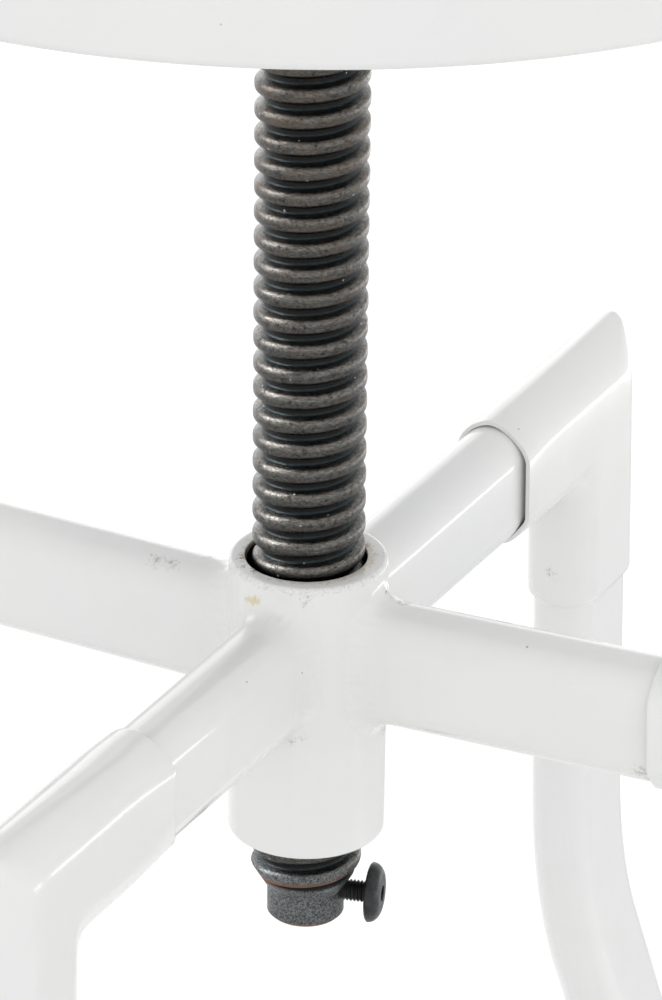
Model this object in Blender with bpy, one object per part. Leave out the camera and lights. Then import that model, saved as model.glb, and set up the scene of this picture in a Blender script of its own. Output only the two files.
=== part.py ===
"""Height-adjustable bar stool: a screw spindle runs in a hub that four flat-oval arms carry.

Each arm slips into a mitred elbow sleeve on a bent leg, and a ring joins the legs as a footrest.
Units are metres, +Z is up, and the origin is on the floor under the spindle. Legs stand on the diagonals.
"""

import math

import bmesh
import bpy
from mathutils import Matrix, Vector

mm = 0.001

# Fits
SEAT_GAP = 0.3 * mm
SLIP_GAP = 0.6 * mm

# Hub and arms
ARM_HEIGHT = 535.0 * mm
ARM_RISE_DEG = 1.7
HUB_DIAMETER = 42.4 * mm
HUB_BORE = 36.0 * mm
HUB_ABOVE_ARM = 26.7 * mm
HUB_BELOW_ARM = 54.4 * mm
HUB_EDGE = 1.6 * mm
TUBE_WIDTH = 19.0 * mm
TUBE_DEPTH = 35.0 * mm
TUBE_WALL = 1.5 * mm
ARM_LENGTH = 141.0 * mm

# Elbow sleeves
ELBOW_WALL = 1.2 * mm
ELBOW_REACH = 163.2 * mm
ELBOW_MOUTH = 104.6 * mm
ELBOW_DROP = 58.0 * mm

# Legs, from the elbow's corner to the floor
LEG_LEAN_DEG = 2.3
LEG_TOP = 22.0 * mm
LEG_UPPER = 124.5 * mm
LEG_BEND_RADIUS = 150.0 * mm
LEG_BEND_OUT_DEG = 25.0
LEG_SLANT = 45.0 * mm
LEG_BEND_BACK_DEG = 18.0
LEG_END_HEIGHT = 7.0 * mm
FOOT_WALL = 2.2 * mm
FOOT_HEIGHT = 30.0 * mm

# Footrest ring
RING_HEIGHT = 205.0 * mm
RING_TUBE = 16.0 * mm
RING_BOLT_DEPTH = 10.0 * mm

# Spindle thread, right-handed
SPINDLE_DIAMETER = 30.0 * mm
SPINDLE_PITCH = 7.0 * mm
THREAD_DEPTH = 2.4 * mm
THREAD_CREST = 3.3 * mm
THREAD_ROOT = 1.7 * mm
THREAD_STEPS = 12
THREAD_RADIAL_GAP = 0.6 * mm
THREAD_FLANK_GAP = 0.3 * mm
THREAD_END_BELOW_ARM = 71.5 * mm
THREAD_CHAMFER = 7.5 * mm
NECK_DIAMETER = 24.0 * mm
NECK_CHAMFER = 3.0 * mm
STUB_DIAMETER = 20.2 * mm
STUB_LENGTH = 7.8 * mm
STUB_EDGE = 1.0 * mm
NUT_LENGTH = 48.0 * mm
NUT_COUNTERBORE = 33.2 * mm
NUT_COUNTERBORE_DEPTH = 16.0 * mm
NUT_CHAMFER = 1.2 * mm

# Stop bolt across the spindle's stub
STOP_BOLT_BELOW_ARM = 73.5 * mm
STOP_BOLT_DEG = -30.0
STOP_BOLT_STANDOFF = 6.4 * mm
STOP_BOLT_LENGTH = 25.0 * mm

# Screws and nuts
BOLT_THREAD = 6.0 * mm
BOLT_CLEARANCE = 0.3 * mm
FURNITURE_HEAD = 16.5 * mm
FURNITURE_HEAD_HEIGHT = 5.2 * mm
BUTTON_HEAD = 10.5 * mm
BUTTON_HEAD_HEIGHT = 3.3 * mm
BUTTON_SEAT = 1.0 * mm
DOME_FLAT = 0.42
HOLE_RUN_OUT = 8.0 * mm
LOCK_SCREW_REACH = (ELBOW_MOUTH + ARM_LENGTH) / 2
LOCK_SCREW_LENGTH = 9.0 * mm
LOCK_SCREW_SINK = 0.2 * mm
LOCK_SCREW_EDGE = 0.6 * mm
LOCK_SCREW_POINT = 1.5 * mm
NUT_FLATS = 10.0 * mm
NUT_HEIGHT = 5.0 * mm

# Seat
SEAT_DIAMETER = 342.0 * mm
SEAT_RIM_ABOVE_ARM = 232.6 * mm
SEAT_SKIRT = 32.0 * mm
SEAT_DRAFT = 3.0 * mm
SEAT_SHOULDER = 14.0 * mm
SEAT_DISH = 9.0 * mm
SEAT_FLAT = 150.0 * mm
SEAT_SHEET = 1.6 * mm
SEAT_CURL = 2.6 * mm
PLATE_DIAMETER = 130.0 * mm
PLATE_THICKNESS = 4.0 * mm
PLATE_STUD_CIRCLE = 96.0 * mm
STUD_TAIL = 8.0 * mm
COLLAR_DIAMETER = 42.0 * mm
COLLAR_HEIGHT = 14.0 * mm

# Arms as welded, in degrees from +X
FRONT_LEFT_DEG = 226.5
FRONT_RIGHT_DEG = 315.0
BACK_RIGHT_DEG = 43.5
BACK_LEFT_DEG = 135.8
CORNERS = {
    "front_left": FRONT_LEFT_DEG,
    "front_right": FRONT_RIGHT_DEG,
    "back_right": BACK_RIGHT_DEG,
    "back_left": BACK_LEFT_DEG,
}

# Looks: name, colour, roughness, metal
WHITE = ("white_paint", (0.80, 0.80, 0.79), 0.28, 0.0)
BLACK_STEEL = ("blackened_steel", (0.035, 0.034, 0.033), 0.42, 0.9)
BARE_STEEL = ("bare_steel", (0.45, 0.44, 0.42), 0.4, 1.0)
GREY_RUBBER = ("grey_rubber", (0.55, 0.55, 0.54), 0.7, 0.0)


# Scene helpers


def clear_scene():
    for old in list(bpy.data.objects):
        bpy.data.objects.remove(old)


def finish_for(look):
    name, colour, roughness, metallic = look
    found = bpy.data.materials.get(name)
    if found:
        return found
    made = bpy.data.materials.new(name)
    made.use_nodes = True
    shader = made.node_tree.nodes["Principled BSDF"]
    shader.inputs["Base Color"].default_value = (*colour, 1.0)
    shader.inputs["Roughness"].default_value = roughness
    shader.inputs["Metallic"].default_value = metallic
    return made


def mesh_from(bm, name):
    """Closes the bmesh into a smooth-shaded mesh with its faces pointing out."""
    bmesh.ops.remove_doubles(bm, verts=bm.verts[:], dist=0.002 * mm)
    bmesh.ops.recalc_face_normals(bm, faces=bm.faces[:])
    mesh = bpy.data.meshes.new(name)
    bm.to_mesh(mesh)
    bm.free()
    mesh.shade_smooth()
    mesh.set_sharp_from_angle(angle=math.radians(38))
    return mesh


def place(name, mesh, look, location=(0, 0, 0), rotation=(0, 0, 0)):
    obj = bpy.data.objects.new(name, mesh)
    bpy.context.scene.collection.objects.link(obj)
    if not mesh.materials:
        mesh.materials.append(finish_for(look))
    obj.location = location
    obj.rotation_euler = rotation
    return obj


def hide_cutter(cutter):
    cutter.hide_render = True
    cutter.display_type = "WIRE"
    return cutter


def cut(obj, cutter):
    modifier = obj.modifiers.new("cut by " + cutter.name, "BOOLEAN")
    modifier.operation = "DIFFERENCE"
    modifier.object = cutter
    modifier.solver = "EXACT"


# Modelling helpers


def arc(centre_x, centre_z, radius, start, end, steps):
    """Points of an arc in the XZ plane, with angles in degrees from +X towards +Z."""
    angles = [math.radians(start + (end - start) * i / steps) for i in range(steps + 1)]
    return [(centre_x + radius * math.cos(a), centre_z + radius * math.sin(a)) for a in angles]


def profile_edges(bm, points, closed):
    verts = [bm.verts.new((x, 0, z)) for x, z in points]
    pairs = list(zip(verts, verts[1:] + verts[:1])) if closed else list(zip(verts, verts[1:]))
    return [bm.edges.new(pair) for pair in pairs]


def turned(points, segments, closed=False):
    """A body of revolution about Z. An open profile runs from the axis to the axis."""
    bm = bmesh.new()
    edges = profile_edges(bm, points, closed)
    geometry = edges + list({v for e in edges for v in e.verts})
    bmesh.ops.spin(bm, geom=geometry, axis=(0, 0, 1), angle=math.tau, steps=segments, use_merge=True)
    bmesh.ops.remove_doubles(bm, verts=bm.verts[:], dist=0.002 * mm)
    bmesh.ops.dissolve_limit(bm, angle_limit=math.radians(0.05), verts=bm.verts[:], edges=bm.edges[:])
    return bm


def flat_oval(width, depth, arc_steps=6):
    """Outline of a flat-oval tube: width across (Y), depth in the plane of the bend."""
    radius = width / 2
    flat = depth / 2 - radius
    points = []
    for side in (1, -1):
        for i in range(arc_steps + 1):
            a = math.pi * i / arc_steps
            points.append((side * radius * math.cos(a), side * (flat + radius * math.sin(a))))
    return points


def section_loop(bm, section, start, lean):
    """A closed loop of edges square to a path that leans out by lean from straight down."""
    outward = Vector((math.cos(lean), 0, math.sin(lean)))
    verts = [bm.verts.new(Vector(start) + Vector((0, y, 0)) + outward * v) for y, v in section]
    return [bm.edges.new(pair) for pair in zip(verts, verts[1:] + verts[:1])]


def extrude_to_plane(bm, edges, direction, plane_point, plane_normal):
    """Extrudes a loop along direction until each of its points meets the plane."""
    made = bmesh.ops.extrude_edge_only(bm, edges=edges)["geom"]
    direction, normal = Vector(direction), Vector(plane_normal)
    for vert in (g for g in made if isinstance(g, bmesh.types.BMVert)):
        travel = (Vector(plane_point) - vert.co).dot(normal) / direction.dot(normal)
        vert.co += direction * travel
    verts = {g for g in made if isinstance(g, bmesh.types.BMVert)}
    return [g for g in made if isinstance(g, bmesh.types.BMEdge) and set(g.verts) <= verts]


def bend_centre(position, lean, angle):
    """A leg bend's centre: outside the leg where it bends out, inside where it bends back."""
    return position + Vector((math.cos(lean), 0, math.sin(lean))) * math.copysign(LEG_BEND_RADIUS, angle)


def round_bend(position, lean, angle):
    centre = bend_centre(position, lean, angle)
    return centre + Matrix.Rotation(-angle, 3, "Y") @ (position - centre)


def bend_loop(bm, edges, position, lean, angle, steps):
    """Spins a loop round a tube bend in the XZ plane."""
    geometry = edges + list({v for e in edges for v in e.verts})
    centre = bend_centre(position, lean, angle)
    spun = bmesh.ops.spin(bm, geom=geometry, cent=centre, axis=(0, -1, 0), angle=angle, steps=steps)
    return [g for g in spun["geom_last"] if isinstance(g, bmesh.types.BMEdge)]


def hollow(obj, wall):
    """Gives a tube's outer skin its wall, inwards."""
    modifier = obj.modifiers.new("tube wall", "SOLIDIFY")
    modifier.thickness = wall
    modifier.offset = -1
    modifier.use_even_offset = True


def down(lean):
    return Vector((math.sin(lean), 0, -math.cos(lean)))


def elbow_corner():
    """Where the arm's axis meets the leg's, in the vertical plane of one arm."""
    return Vector((ELBOW_REACH, 0, ARM_HEIGHT + ELBOW_REACH * math.tan(math.radians(ARM_RISE_DEG))))


def leg_stations():
    """Axis point and lean of a leg at its top and at both ends of each bend."""
    lean, bend_out, bend_back = (math.radians(a) for a in (LEG_LEAN_DEG, LEG_BEND_OUT_DEG, LEG_BEND_BACK_DEG))
    slant = lean + bend_out
    top = elbow_corner() + down(lean) * LEG_TOP
    upper = elbow_corner() + down(lean) * LEG_UPPER
    slant_start = round_bend(upper, lean, bend_out)
    slant_end = slant_start + down(slant) * LEG_SLANT
    lower = round_bend(slant_end, slant, -bend_back)
    return [(top, lean), (upper, lean), (slant_start, slant), (slant_end, slant), (lower, slant - bend_back)]


def leg_axis_at(height):
    """The point of a leg's lower straight at a height, and that straight's lean."""
    start, lean = leg_stations()[-1]
    return start + down(lean) * ((start.z - height) / math.cos(lean)), lean


# Frame


def make_hub():
    top, bottom = ARM_HEIGHT + HUB_ABOVE_ARM, ARM_HEIGHT - HUB_BELOW_ARM
    outer, inner = HUB_DIAMETER / 2, HUB_BORE / 2
    profile = [(inner, bottom)]
    profile += arc(outer - HUB_EDGE, bottom + HUB_EDGE, HUB_EDGE, 270, 360, 3)
    profile += arc(outer - HUB_EDGE, top - HUB_EDGE, HUB_EDGE, 0, 90, 3)
    profile += [(inner, top)]
    place("hub_tube", mesh_from(turned(profile, 28, closed=True), "hub_tube"), WHITE)


def make_arms():
    bm = bmesh.new()
    start = section_loop(bm, flat_oval(TUBE_WIDTH, TUBE_DEPTH), (0, 0, 0), math.radians(90))
    extrude_to_plane(bm, start, (1, 0, 0), (ARM_LENGTH, 0, 0), (1, 0, 0))
    mesh = mesh_from(bm, "arm")
    cope = HUB_DIAMETER / 2 + SEAT_GAP
    cope_mesh = mesh_from(turned([(0, 0), (cope, 0), (cope, 1), (0, 1)], 28), "hub_cope_cutter")
    cope_cutter = hide_cutter(place("hub_cope_cutter", cope_mesh, WHITE))
    for corner, azimuth in CORNERS.items():
        turn = (0, -math.radians(ARM_RISE_DEG), math.radians(azimuth))
        arm = place("arm_" + corner, mesh, WHITE, (0, 0, ARM_HEIGHT), turn)
        hollow(arm, TUBE_WALL)
        cut(arm, cope_cutter)
        cut(arm, bpy.data.objects["lock_hole_cutter_" + corner])


def domed_bolt(shank, tip, under_head, diameter, crown, steps, segments):
    """A bolt along Z with its tip down: a plain shank and a domed head with a flat top."""
    flat = DOME_FLAT * diameter / 2
    profile = [(0, tip), (shank, tip), (shank, under_head)]
    for i in range(steps + 1):
        a = math.radians(90) * i / steps
        profile.append((flat + (diameter / 2 - flat) * math.cos(a), under_head + crown * math.sin(a)))
    return turned(profile + [(0, under_head + crown)], segments)


def button_screw(length):
    """A button-head screw with its shank up Z from 0 and its head below."""
    bm = domed_bolt(BOLT_THREAD / 2, -length, 0.0, BUTTON_HEAD, BUTTON_HEAD_HEIGHT, 2, 8)
    bmesh.ops.rotate(bm, verts=bm.verts[:], matrix=Matrix.Rotation(math.pi, 3, "X"))
    return bm


def set_screw(length):
    """A headless screw up Z from 0, with a broken lower edge and a blunt point."""
    radius = BOLT_THREAD / 2
    profile = [(0, 0), (radius - LOCK_SCREW_EDGE, 0), (radius, LOCK_SCREW_EDGE)]
    profile += [(radius, length - LOCK_SCREW_POINT), (radius - LOCK_SCREW_POINT, length), (0, length)]
    return turned(profile, 10)


def bolt_hole(low, high):
    """A clearance hole for a shank along Z."""
    hole = BOLT_THREAD / 2 + BOLT_CLEARANCE
    return turned([(0, low), (hole, low), (hole, high), (0, high)], 10)


def moved_mesh(bm, matrix, name):
    bmesh.ops.transform(bm, matrix=matrix, verts=bm.verts[:])
    return mesh_from(bm, name)


def make_lock_screws():
    """A headless screw, sunk in the underside of each elbow, holds the arm in its sleeve."""
    under = -(TUBE_DEPTH / 2 + SLIP_GAP + ELBOW_WALL - LOCK_SCREW_SINK)
    at = Matrix.Translation((LOCK_SCREW_REACH, 0, under))
    screw = moved_mesh(set_screw(LOCK_SCREW_LENGTH), at, "lock_screw")
    hole = moved_mesh(bolt_hole(-HOLE_RUN_OUT, LOCK_SCREW_LENGTH), at, "lock_hole")
    for corner, azimuth in CORNERS.items():
        turn = (0, -math.radians(ARM_RISE_DEG), math.radians(azimuth))
        place("lock_screw_" + corner, screw, BLACK_STEEL, (0, 0, ARM_HEIGHT), turn)
        hide_cutter(place("lock_hole_cutter_" + corner, hole, BLACK_STEEL, (0, 0, ARM_HEIGHT), turn))


def make_elbows():
    bm = bmesh.new()
    corner = elbow_corner()
    along_arm = Vector((math.cos(math.radians(ARM_RISE_DEG)), 0, math.sin(math.radians(ARM_RISE_DEG))))
    along_leg = down(math.radians(LEG_LEAN_DEG))
    mouth = corner - along_arm * (ELBOW_REACH - ELBOW_MOUTH)
    foot = corner + along_leg * ELBOW_DROP
    grow = 2 * (SLIP_GAP + ELBOW_WALL)
    section = flat_oval(TUBE_WIDTH + grow, TUBE_DEPTH + grow)
    start = section_loop(bm, section, mouth, math.radians(90) + math.radians(ARM_RISE_DEG))
    mitre = extrude_to_plane(bm, start, along_arm, corner, along_arm + along_leg)
    extrude_to_plane(bm, mitre, along_leg, foot, along_leg)
    mesh = mesh_from(bm, "elbow")
    for name, azimuth in CORNERS.items():
        elbow = place("elbow_" + name, mesh, WHITE, rotation=(0, 0, math.radians(azimuth)))
        hollow(elbow, ELBOW_WALL)
        cut(elbow, bpy.data.objects["lock_hole_cutter_" + name])


def make_legs():
    bm = bmesh.new()
    top, upper, slant_start, slant_end, lower = leg_stations()
    edges = section_loop(bm, flat_oval(TUBE_WIDTH, TUBE_DEPTH), *top)
    edges = extrude_to_plane(bm, edges, down(upper[1]), upper[0], down(upper[1]))
    edges = bend_loop(bm, edges, *upper, math.radians(LEG_BEND_OUT_DEG), 5)
    edges = extrude_to_plane(bm, edges, down(slant_end[1]), slant_end[0], down(slant_end[1]))
    edges = bend_loop(bm, edges, *slant_end, -math.radians(LEG_BEND_BACK_DEG), 4)
    end, lean = leg_axis_at(LEG_END_HEIGHT)
    extrude_to_plane(bm, edges, down(lean), end, down(lean))
    mesh = mesh_from(bm, "leg")
    for name, azimuth in CORNERS.items():
        leg = place("leg_" + name, mesh, WHITE, rotation=(0, 0, math.radians(azimuth)))
        hollow(leg, TUBE_WALL)
        cut(leg, bpy.data.objects["ring_hole_cutter_" + name])


def make_feet():
    """A rubber boot over each leg's end, cut level at the floor."""
    end, lean = leg_axis_at(LEG_END_HEIGHT)
    top, _ = leg_axis_at(FOOT_HEIGHT)
    bore_width, bore_depth = TUBE_WIDTH + 2 * SEAT_GAP, TUBE_DEPTH + 2 * SEAT_GAP
    boot = bmesh.new()
    section = flat_oval(bore_width + 2 * FOOT_WALL, bore_depth + 2 * FOOT_WALL)
    rim = section_loop(boot, section, top, lean)
    sole = extrude_to_plane(boot, rim, down(lean), (0, 0, 0), (0, 0, 1))
    bore = bmesh.new()
    mouth = section_loop(bore, flat_oval(bore_width, bore_depth), top - down(lean) * FOOT_HEIGHT, lean)
    seat = extrude_to_plane(bore, mouth, down(lean), end + down(lean) * SEAT_GAP, down(lean))
    for shape, loops in ((boot, (rim, sole)), (bore, (mouth, seat))):
        for loop in loops:
            bmesh.ops.edgeloop_fill(shape, edges=loop)
    boot_mesh = mesh_from(boot, "foot")
    bore_mesh = mesh_from(bore, "foot_bore")
    for name, azimuth in CORNERS.items():
        turn = (0, 0, math.radians(azimuth))
        foot = place("foot_" + name, boot_mesh, GREY_RUBBER, rotation=turn)
        cut(foot, hide_cutter(place("foot_bore_cutter_" + name, bore_mesh, GREY_RUBBER, rotation=turn)))


def make_footrest():
    """A ring just inside the legs' inner noses, held by a screw through each leg."""
    leg, lean = leg_axis_at(RING_HEIGHT)
    half_depth = TUBE_DEPTH / 2 / math.cos(lean)
    radius = leg.x - half_depth - SEAT_GAP - RING_TUBE / 2
    section = arc(radius, RING_HEIGHT, RING_TUBE / 2, 0, 360, 8)[:-1]
    ring = place("footrest_ring", mesh_from(turned(section, 36, closed=True), "footrest_ring"), WHITE)
    head_seat = leg.x + half_depth + BUTTON_SEAT
    length = head_seat - (radius + RING_TUBE / 2 - RING_BOLT_DEPTH)
    at = Matrix.Translation((head_seat, 0, RING_HEIGHT)) @ Matrix.Rotation(math.radians(-90), 4, "Y")
    screw = moved_mesh(button_screw(length), at, "footrest_screw")
    hole = moved_mesh(bolt_hole(-HOLE_RUN_OUT, length + SEAT_GAP), at, "footrest_hole")
    for name, azimuth in CORNERS.items():
        turn = (0, 0, math.radians(azimuth))
        place("footrest_screw_" + name, screw, BLACK_STEEL, rotation=turn)
        cut(ring, hide_cutter(place("ring_hole_cutter_" + name, hole, BLACK_STEEL, rotation=turn)))


# Spindle and nut


def threaded_rod(crest_radius, root_radius, crest_width, low, high):
    """A right-handed thread between two heights, cut square at both ends.

    Crests are centred on the same helix whatever their width, so a rod and a tap made alike stay in mesh.
    """
    flank = (SPINDLE_PITCH - THREAD_CREST - THREAD_ROOT) / 2
    rise = crest_width / 2
    points = [
        (root_radius, -rise - flank),
        (crest_radius, -rise),
        (crest_radius, rise),
        (root_radius, rise + flank),
        (root_radius, SPINDLE_PITCH - rise - flank),
    ]
    first = math.floor(low / SPINDLE_PITCH) - 1
    turns = math.ceil(high / SPINDLE_PITCH) + 1 - first
    bm = bmesh.new()
    edges = profile_edges(bm, [(r, z + first * SPINDLE_PITCH) for r, z in points], closed=False)
    geometry = edges + list({v for e in edges for v in e.verts})
    bmesh.ops.spin(
        bm,
        geom=geometry,
        axis=(0, 0, 1),
        dvec=(0, 0, SPINDLE_PITCH / THREAD_STEPS),
        angle=math.tau * turns,
        steps=THREAD_STEPS * turns,
    )
    bmesh.ops.remove_doubles(bm, verts=bm.verts[:], dist=0.02 * mm)
    for height, facing in ((low, 1), (high, -1)):
        whole = bm.verts[:] + bm.edges[:] + bm.faces[:]
        at, keep = (0, 0, height), (0, 0, facing)
        bmesh.ops.bisect_plane(bm, geom=whole, plane_co=at, plane_no=keep, clear_inner=True)
    return bm


def end_loop(bm, height):
    flat = 0.01 * mm
    return [e for e in bm.edges if e.is_boundary and all(abs(v.co.z - height) < flat for v in e.verts)]


def turn_down(bm, start, length, radius):
    """Turns the thread down to a radius at start and lets it grow back over length."""
    crest = SPINDLE_DIAMETER / 2
    for vert in bm.verts:
        share = (vert.co.z - start) / length
        if share < 1:
            now = math.hypot(vert.co.x, vert.co.y)
            factor = min(1.0, (radius + (crest - radius) * share) / now)
            vert.co.x *= factor
            vert.co.y *= factor


def draw_out(bm, edges, length, shrink=1.0):
    """Extrudes an end loop along the axis, scaling it about the axis."""
    made = bmesh.ops.extrude_edge_only(bm, edges=edges)["geom"]
    verts = [g for g in made if isinstance(g, bmesh.types.BMVert)]
    bmesh.ops.translate(bm, verts=verts, vec=(0, 0, length))
    bmesh.ops.scale(bm, verts=verts, vec=(shrink, shrink, 1))
    return [g for g in made if isinstance(g, bmesh.types.BMEdge) and set(g.verts) <= set(verts)]


def make_spindle():
    """The thread, a neck above it for the collar and a stub below it for the stop bolt."""
    low = ARM_HEIGHT - THREAD_END_BELOW_ARM
    neck_top = plate_underside() - SEAT_GAP
    high = neck_top - COLLAR_HEIGHT - SEAT_GAP
    crest, stub = SPINDLE_DIAMETER / 2, STUB_DIAMETER / 2
    bm = threaded_rod(crest, crest - THREAD_DEPTH, THREAD_CREST, low, high)
    turn_down(bm, low, THREAD_CHAMFER, stub)
    turn_down(bm, high, -NECK_CHAMFER, NECK_DIAMETER / 2)
    neck = draw_out(bm, end_loop(bm, high), neck_top - high)
    tail = draw_out(bm, end_loop(bm, low), STUB_EDGE - STUB_LENGTH)
    tail = draw_out(bm, tail, -STUB_EDGE, 1 - STUB_EDGE / stub)
    for loop in (neck, tail):
        bmesh.ops.edgeloop_fill(bm, edges=loop)
    spindle = place("spindle", mesh_from(bm, "spindle"), BLACK_STEEL)
    cut(spindle, bpy.data.objects["stop_hole_cutter"])


def make_nut():
    """A threaded bush in the hub, flush with its top, counterbored above the thread."""
    top = ARM_HEIGHT + HUB_ABOVE_ARM
    bottom = top - NUT_LENGTH
    outer, counterbore = HUB_BORE / 2 - SEAT_GAP, NUT_COUNTERBORE / 2
    blank = turned([(0, bottom), (outer, bottom), (outer, top), (0, top)], 28)
    nut = place("spindle_nut", mesh_from(blank, "spindle_nut"), BARE_STEEL)
    crest = SPINDLE_DIAMETER / 2 + THREAD_RADIAL_GAP
    ends = (bottom - HOLE_RUN_OUT, top + HOLE_RUN_OUT)
    tap = threaded_rod(crest, crest - THREAD_DEPTH, THREAD_CREST + 2 * THREAD_FLANK_GAP, *ends)
    for height in ends:
        bmesh.ops.edgeloop_fill(tap, edges=end_loop(tap, height))
    cut(nut, hide_cutter(place("spindle_tap", mesh_from(tap, "spindle_tap"), BARE_STEEL)))
    floor = top - NUT_COUNTERBORE_DEPTH
    mouth = [(0, floor), (counterbore, floor), (counterbore, top - NUT_CHAMFER)]
    mouth += [(counterbore + 2 * NUT_CHAMFER, top + NUT_CHAMFER), (0, top + NUT_CHAMFER)]
    counterbore_mesh = mesh_from(turned(mouth, 28), "nut_counterbore")
    cut(nut, hide_cutter(place("nut_counterbore", counterbore_mesh, BARE_STEEL)))


def make_stop_bolt():
    """A furniture bolt across the stub: its head meets the hub when the seat is right up."""
    under_head = STUB_DIAMETER / 2 + STOP_BOLT_STANDOFF
    tip = under_head - STOP_BOLT_LENGTH
    at = Matrix.Rotation(math.radians(90), 4, "Y")
    head = (FURNITURE_HEAD, FURNITURE_HEAD_HEIGHT)
    bolt = moved_mesh(domed_bolt(BOLT_THREAD / 2, tip, under_head, *head, 4, 20), at, "stop_bolt")
    hole = moved_mesh(bolt_hole(-under_head, under_head), at, "stop_hole")
    centre = (0, 0, ARM_HEIGHT - STOP_BOLT_BELOW_ARM)
    turn = (0, 0, math.radians(STOP_BOLT_DEG))
    place("stop_bolt", bolt, BLACK_STEEL, centre, turn)
    hide_cutter(place("stop_hole_cutter", hole, BLACK_STEEL, centre, turn))


# Seat


def seat_rim():
    return ARM_HEIGHT + SEAT_RIM_ABOVE_ARM


def seat_flat_underside():
    return seat_rim() + SEAT_SKIRT - SEAT_DISH - SEAT_SHEET


def plate_underside():
    return seat_flat_underside() - SEAT_GAP - PLATE_THICKNESS


def seat_outer_profile(offset):
    """The pressed sheet's outer face, from the axis to the rim, moved in by offset."""
    rim, top = seat_rim(), seat_rim() + SEAT_SKIRT
    skirt, shoulder = SEAT_DIAMETER / 2, SEAT_SHOULDER
    crown = skirt - SEAT_DRAFT - shoulder
    points = [(0, top - SEAT_DISH - offset), (SEAT_FLAT / 2, top - SEAT_DISH - offset)]
    for i in range(1, 4):
        share = i / 4
        x = SEAT_FLAT / 2 + (crown - SEAT_FLAT / 2) * share
        points.append((x, top - SEAT_DISH * (1 + math.cos(math.pi * share)) / 2 - offset))
    points += arc(crown, top - shoulder, shoulder - offset, 90, 6, 4)
    points.append((skirt - offset, rim + SEAT_CURL))
    return points


def make_seat():
    """A pressed steel pan: dished top, rounded shoulder, drafted skirt and a curled lower edge."""
    outside = seat_outer_profile(0.0)
    inside = seat_outer_profile(SEAT_SHEET)
    curl = arc(SEAT_DIAMETER / 2 - SEAT_CURL, seat_rim() + SEAT_CURL, SEAT_CURL, 0, -180, 4)
    profile = outside + curl[1:] + inside[::-1]
    place("seat_pan", mesh_from(turned(profile, 40), "seat_pan"), WHITE)


def make_seat_mount():
    """The spindle's plate, clamped to studs welded under the pan, and the collar on the neck."""
    low = plate_underside()
    high = low + PLATE_THICKNESS
    radius, shank = PLATE_DIAMETER / 2, BOLT_THREAD / 2
    disc = turned([(0, low), (radius, low), (radius, high), (0, high)], 28)
    plate = place("seat_plate", mesh_from(disc, "seat_plate"), BLACK_STEEL)
    at = Matrix.Translation((PLATE_STUD_CIRCLE / 2, 0, 0))
    tail = low - STUD_TAIL
    stud = moved_mesh(turned([(0, tail), (shank, tail), (shank, high), (0, high)], 8), at, "seat_stud")
    hole = moved_mesh(bolt_hole(tail, high + mm), at, "stud_hole")
    nut_top, across_corners = low - SEAT_GAP, NUT_FLATS / math.sqrt(3)
    bore = (shank + BOLT_CLEARANCE) / math.cos(math.pi / 6)
    ring = [(bore, nut_top), (across_corners, nut_top)]
    ring += [(across_corners, nut_top - NUT_HEIGHT), (bore, nut_top - NUT_HEIGHT)]
    nut = moved_mesh(turned(ring, 6, closed=True), at, "seat_nut")
    for index in range(4):
        turn = (0, 0, math.tau * index / 4)
        place(f"seat_stud_{index + 1}", stud, BARE_STEEL, rotation=turn)
        place(f"seat_nut_{index + 1}", nut, BARE_STEEL, rotation=turn)
        cut(plate, hide_cutter(place(f"stud_hole_cutter_{index + 1}", hole, BARE_STEEL, rotation=turn)))
    top, outer, bore = low - SEAT_GAP, COLLAR_DIAMETER / 2, NECK_DIAMETER / 2 + SEAT_GAP
    ring = [(bore, top), (outer, top), (outer, top - COLLAR_HEIGHT), (bore, top - COLLAR_HEIGHT)]
    place("spindle_collar", mesh_from(turned(ring, 24, closed=True), "spindle_collar"), BLACK_STEEL)


def main():
    clear_scene()
    make_hub()
    make_lock_screws()
    make_arms()
    make_elbows()
    make_footrest()
    make_legs()
    make_feet()
    make_nut()
    make_stop_bolt()
    make_spindle()
    make_seat()
    make_seat_mount()


main()
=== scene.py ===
"""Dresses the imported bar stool: fine spindle thread, welded hub, mitred elbow sleeves, gloss paint and studio."""
import math

import bmesh
import bpy
from mathutils import Matrix, Vector, noise


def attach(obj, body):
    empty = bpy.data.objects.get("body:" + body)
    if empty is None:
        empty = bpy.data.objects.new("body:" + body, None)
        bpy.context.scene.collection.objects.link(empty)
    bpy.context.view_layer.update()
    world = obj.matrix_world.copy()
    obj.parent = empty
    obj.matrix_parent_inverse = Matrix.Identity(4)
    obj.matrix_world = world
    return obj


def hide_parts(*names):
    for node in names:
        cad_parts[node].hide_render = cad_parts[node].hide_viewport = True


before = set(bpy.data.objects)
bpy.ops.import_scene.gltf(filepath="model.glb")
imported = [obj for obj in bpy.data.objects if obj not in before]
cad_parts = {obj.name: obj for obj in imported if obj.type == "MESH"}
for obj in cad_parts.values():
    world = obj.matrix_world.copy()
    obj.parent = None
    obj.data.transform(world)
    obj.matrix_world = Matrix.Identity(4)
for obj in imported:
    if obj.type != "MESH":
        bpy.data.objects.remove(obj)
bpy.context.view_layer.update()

mm = 0.001

# The arms' angles as welded, in degrees from +X, and how far from the spindle each sleeve begins
CORNERS = {"front_left": 226.5, "front_right": 315.0, "back_right": 43.5, "back_left": 135.8}
MOUTHS = {"front_left": 101.5 * mm, "front_right": 104.5 * mm, "back_right": 106.5 * mm, "back_left": 104.6 * mm}

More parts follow.
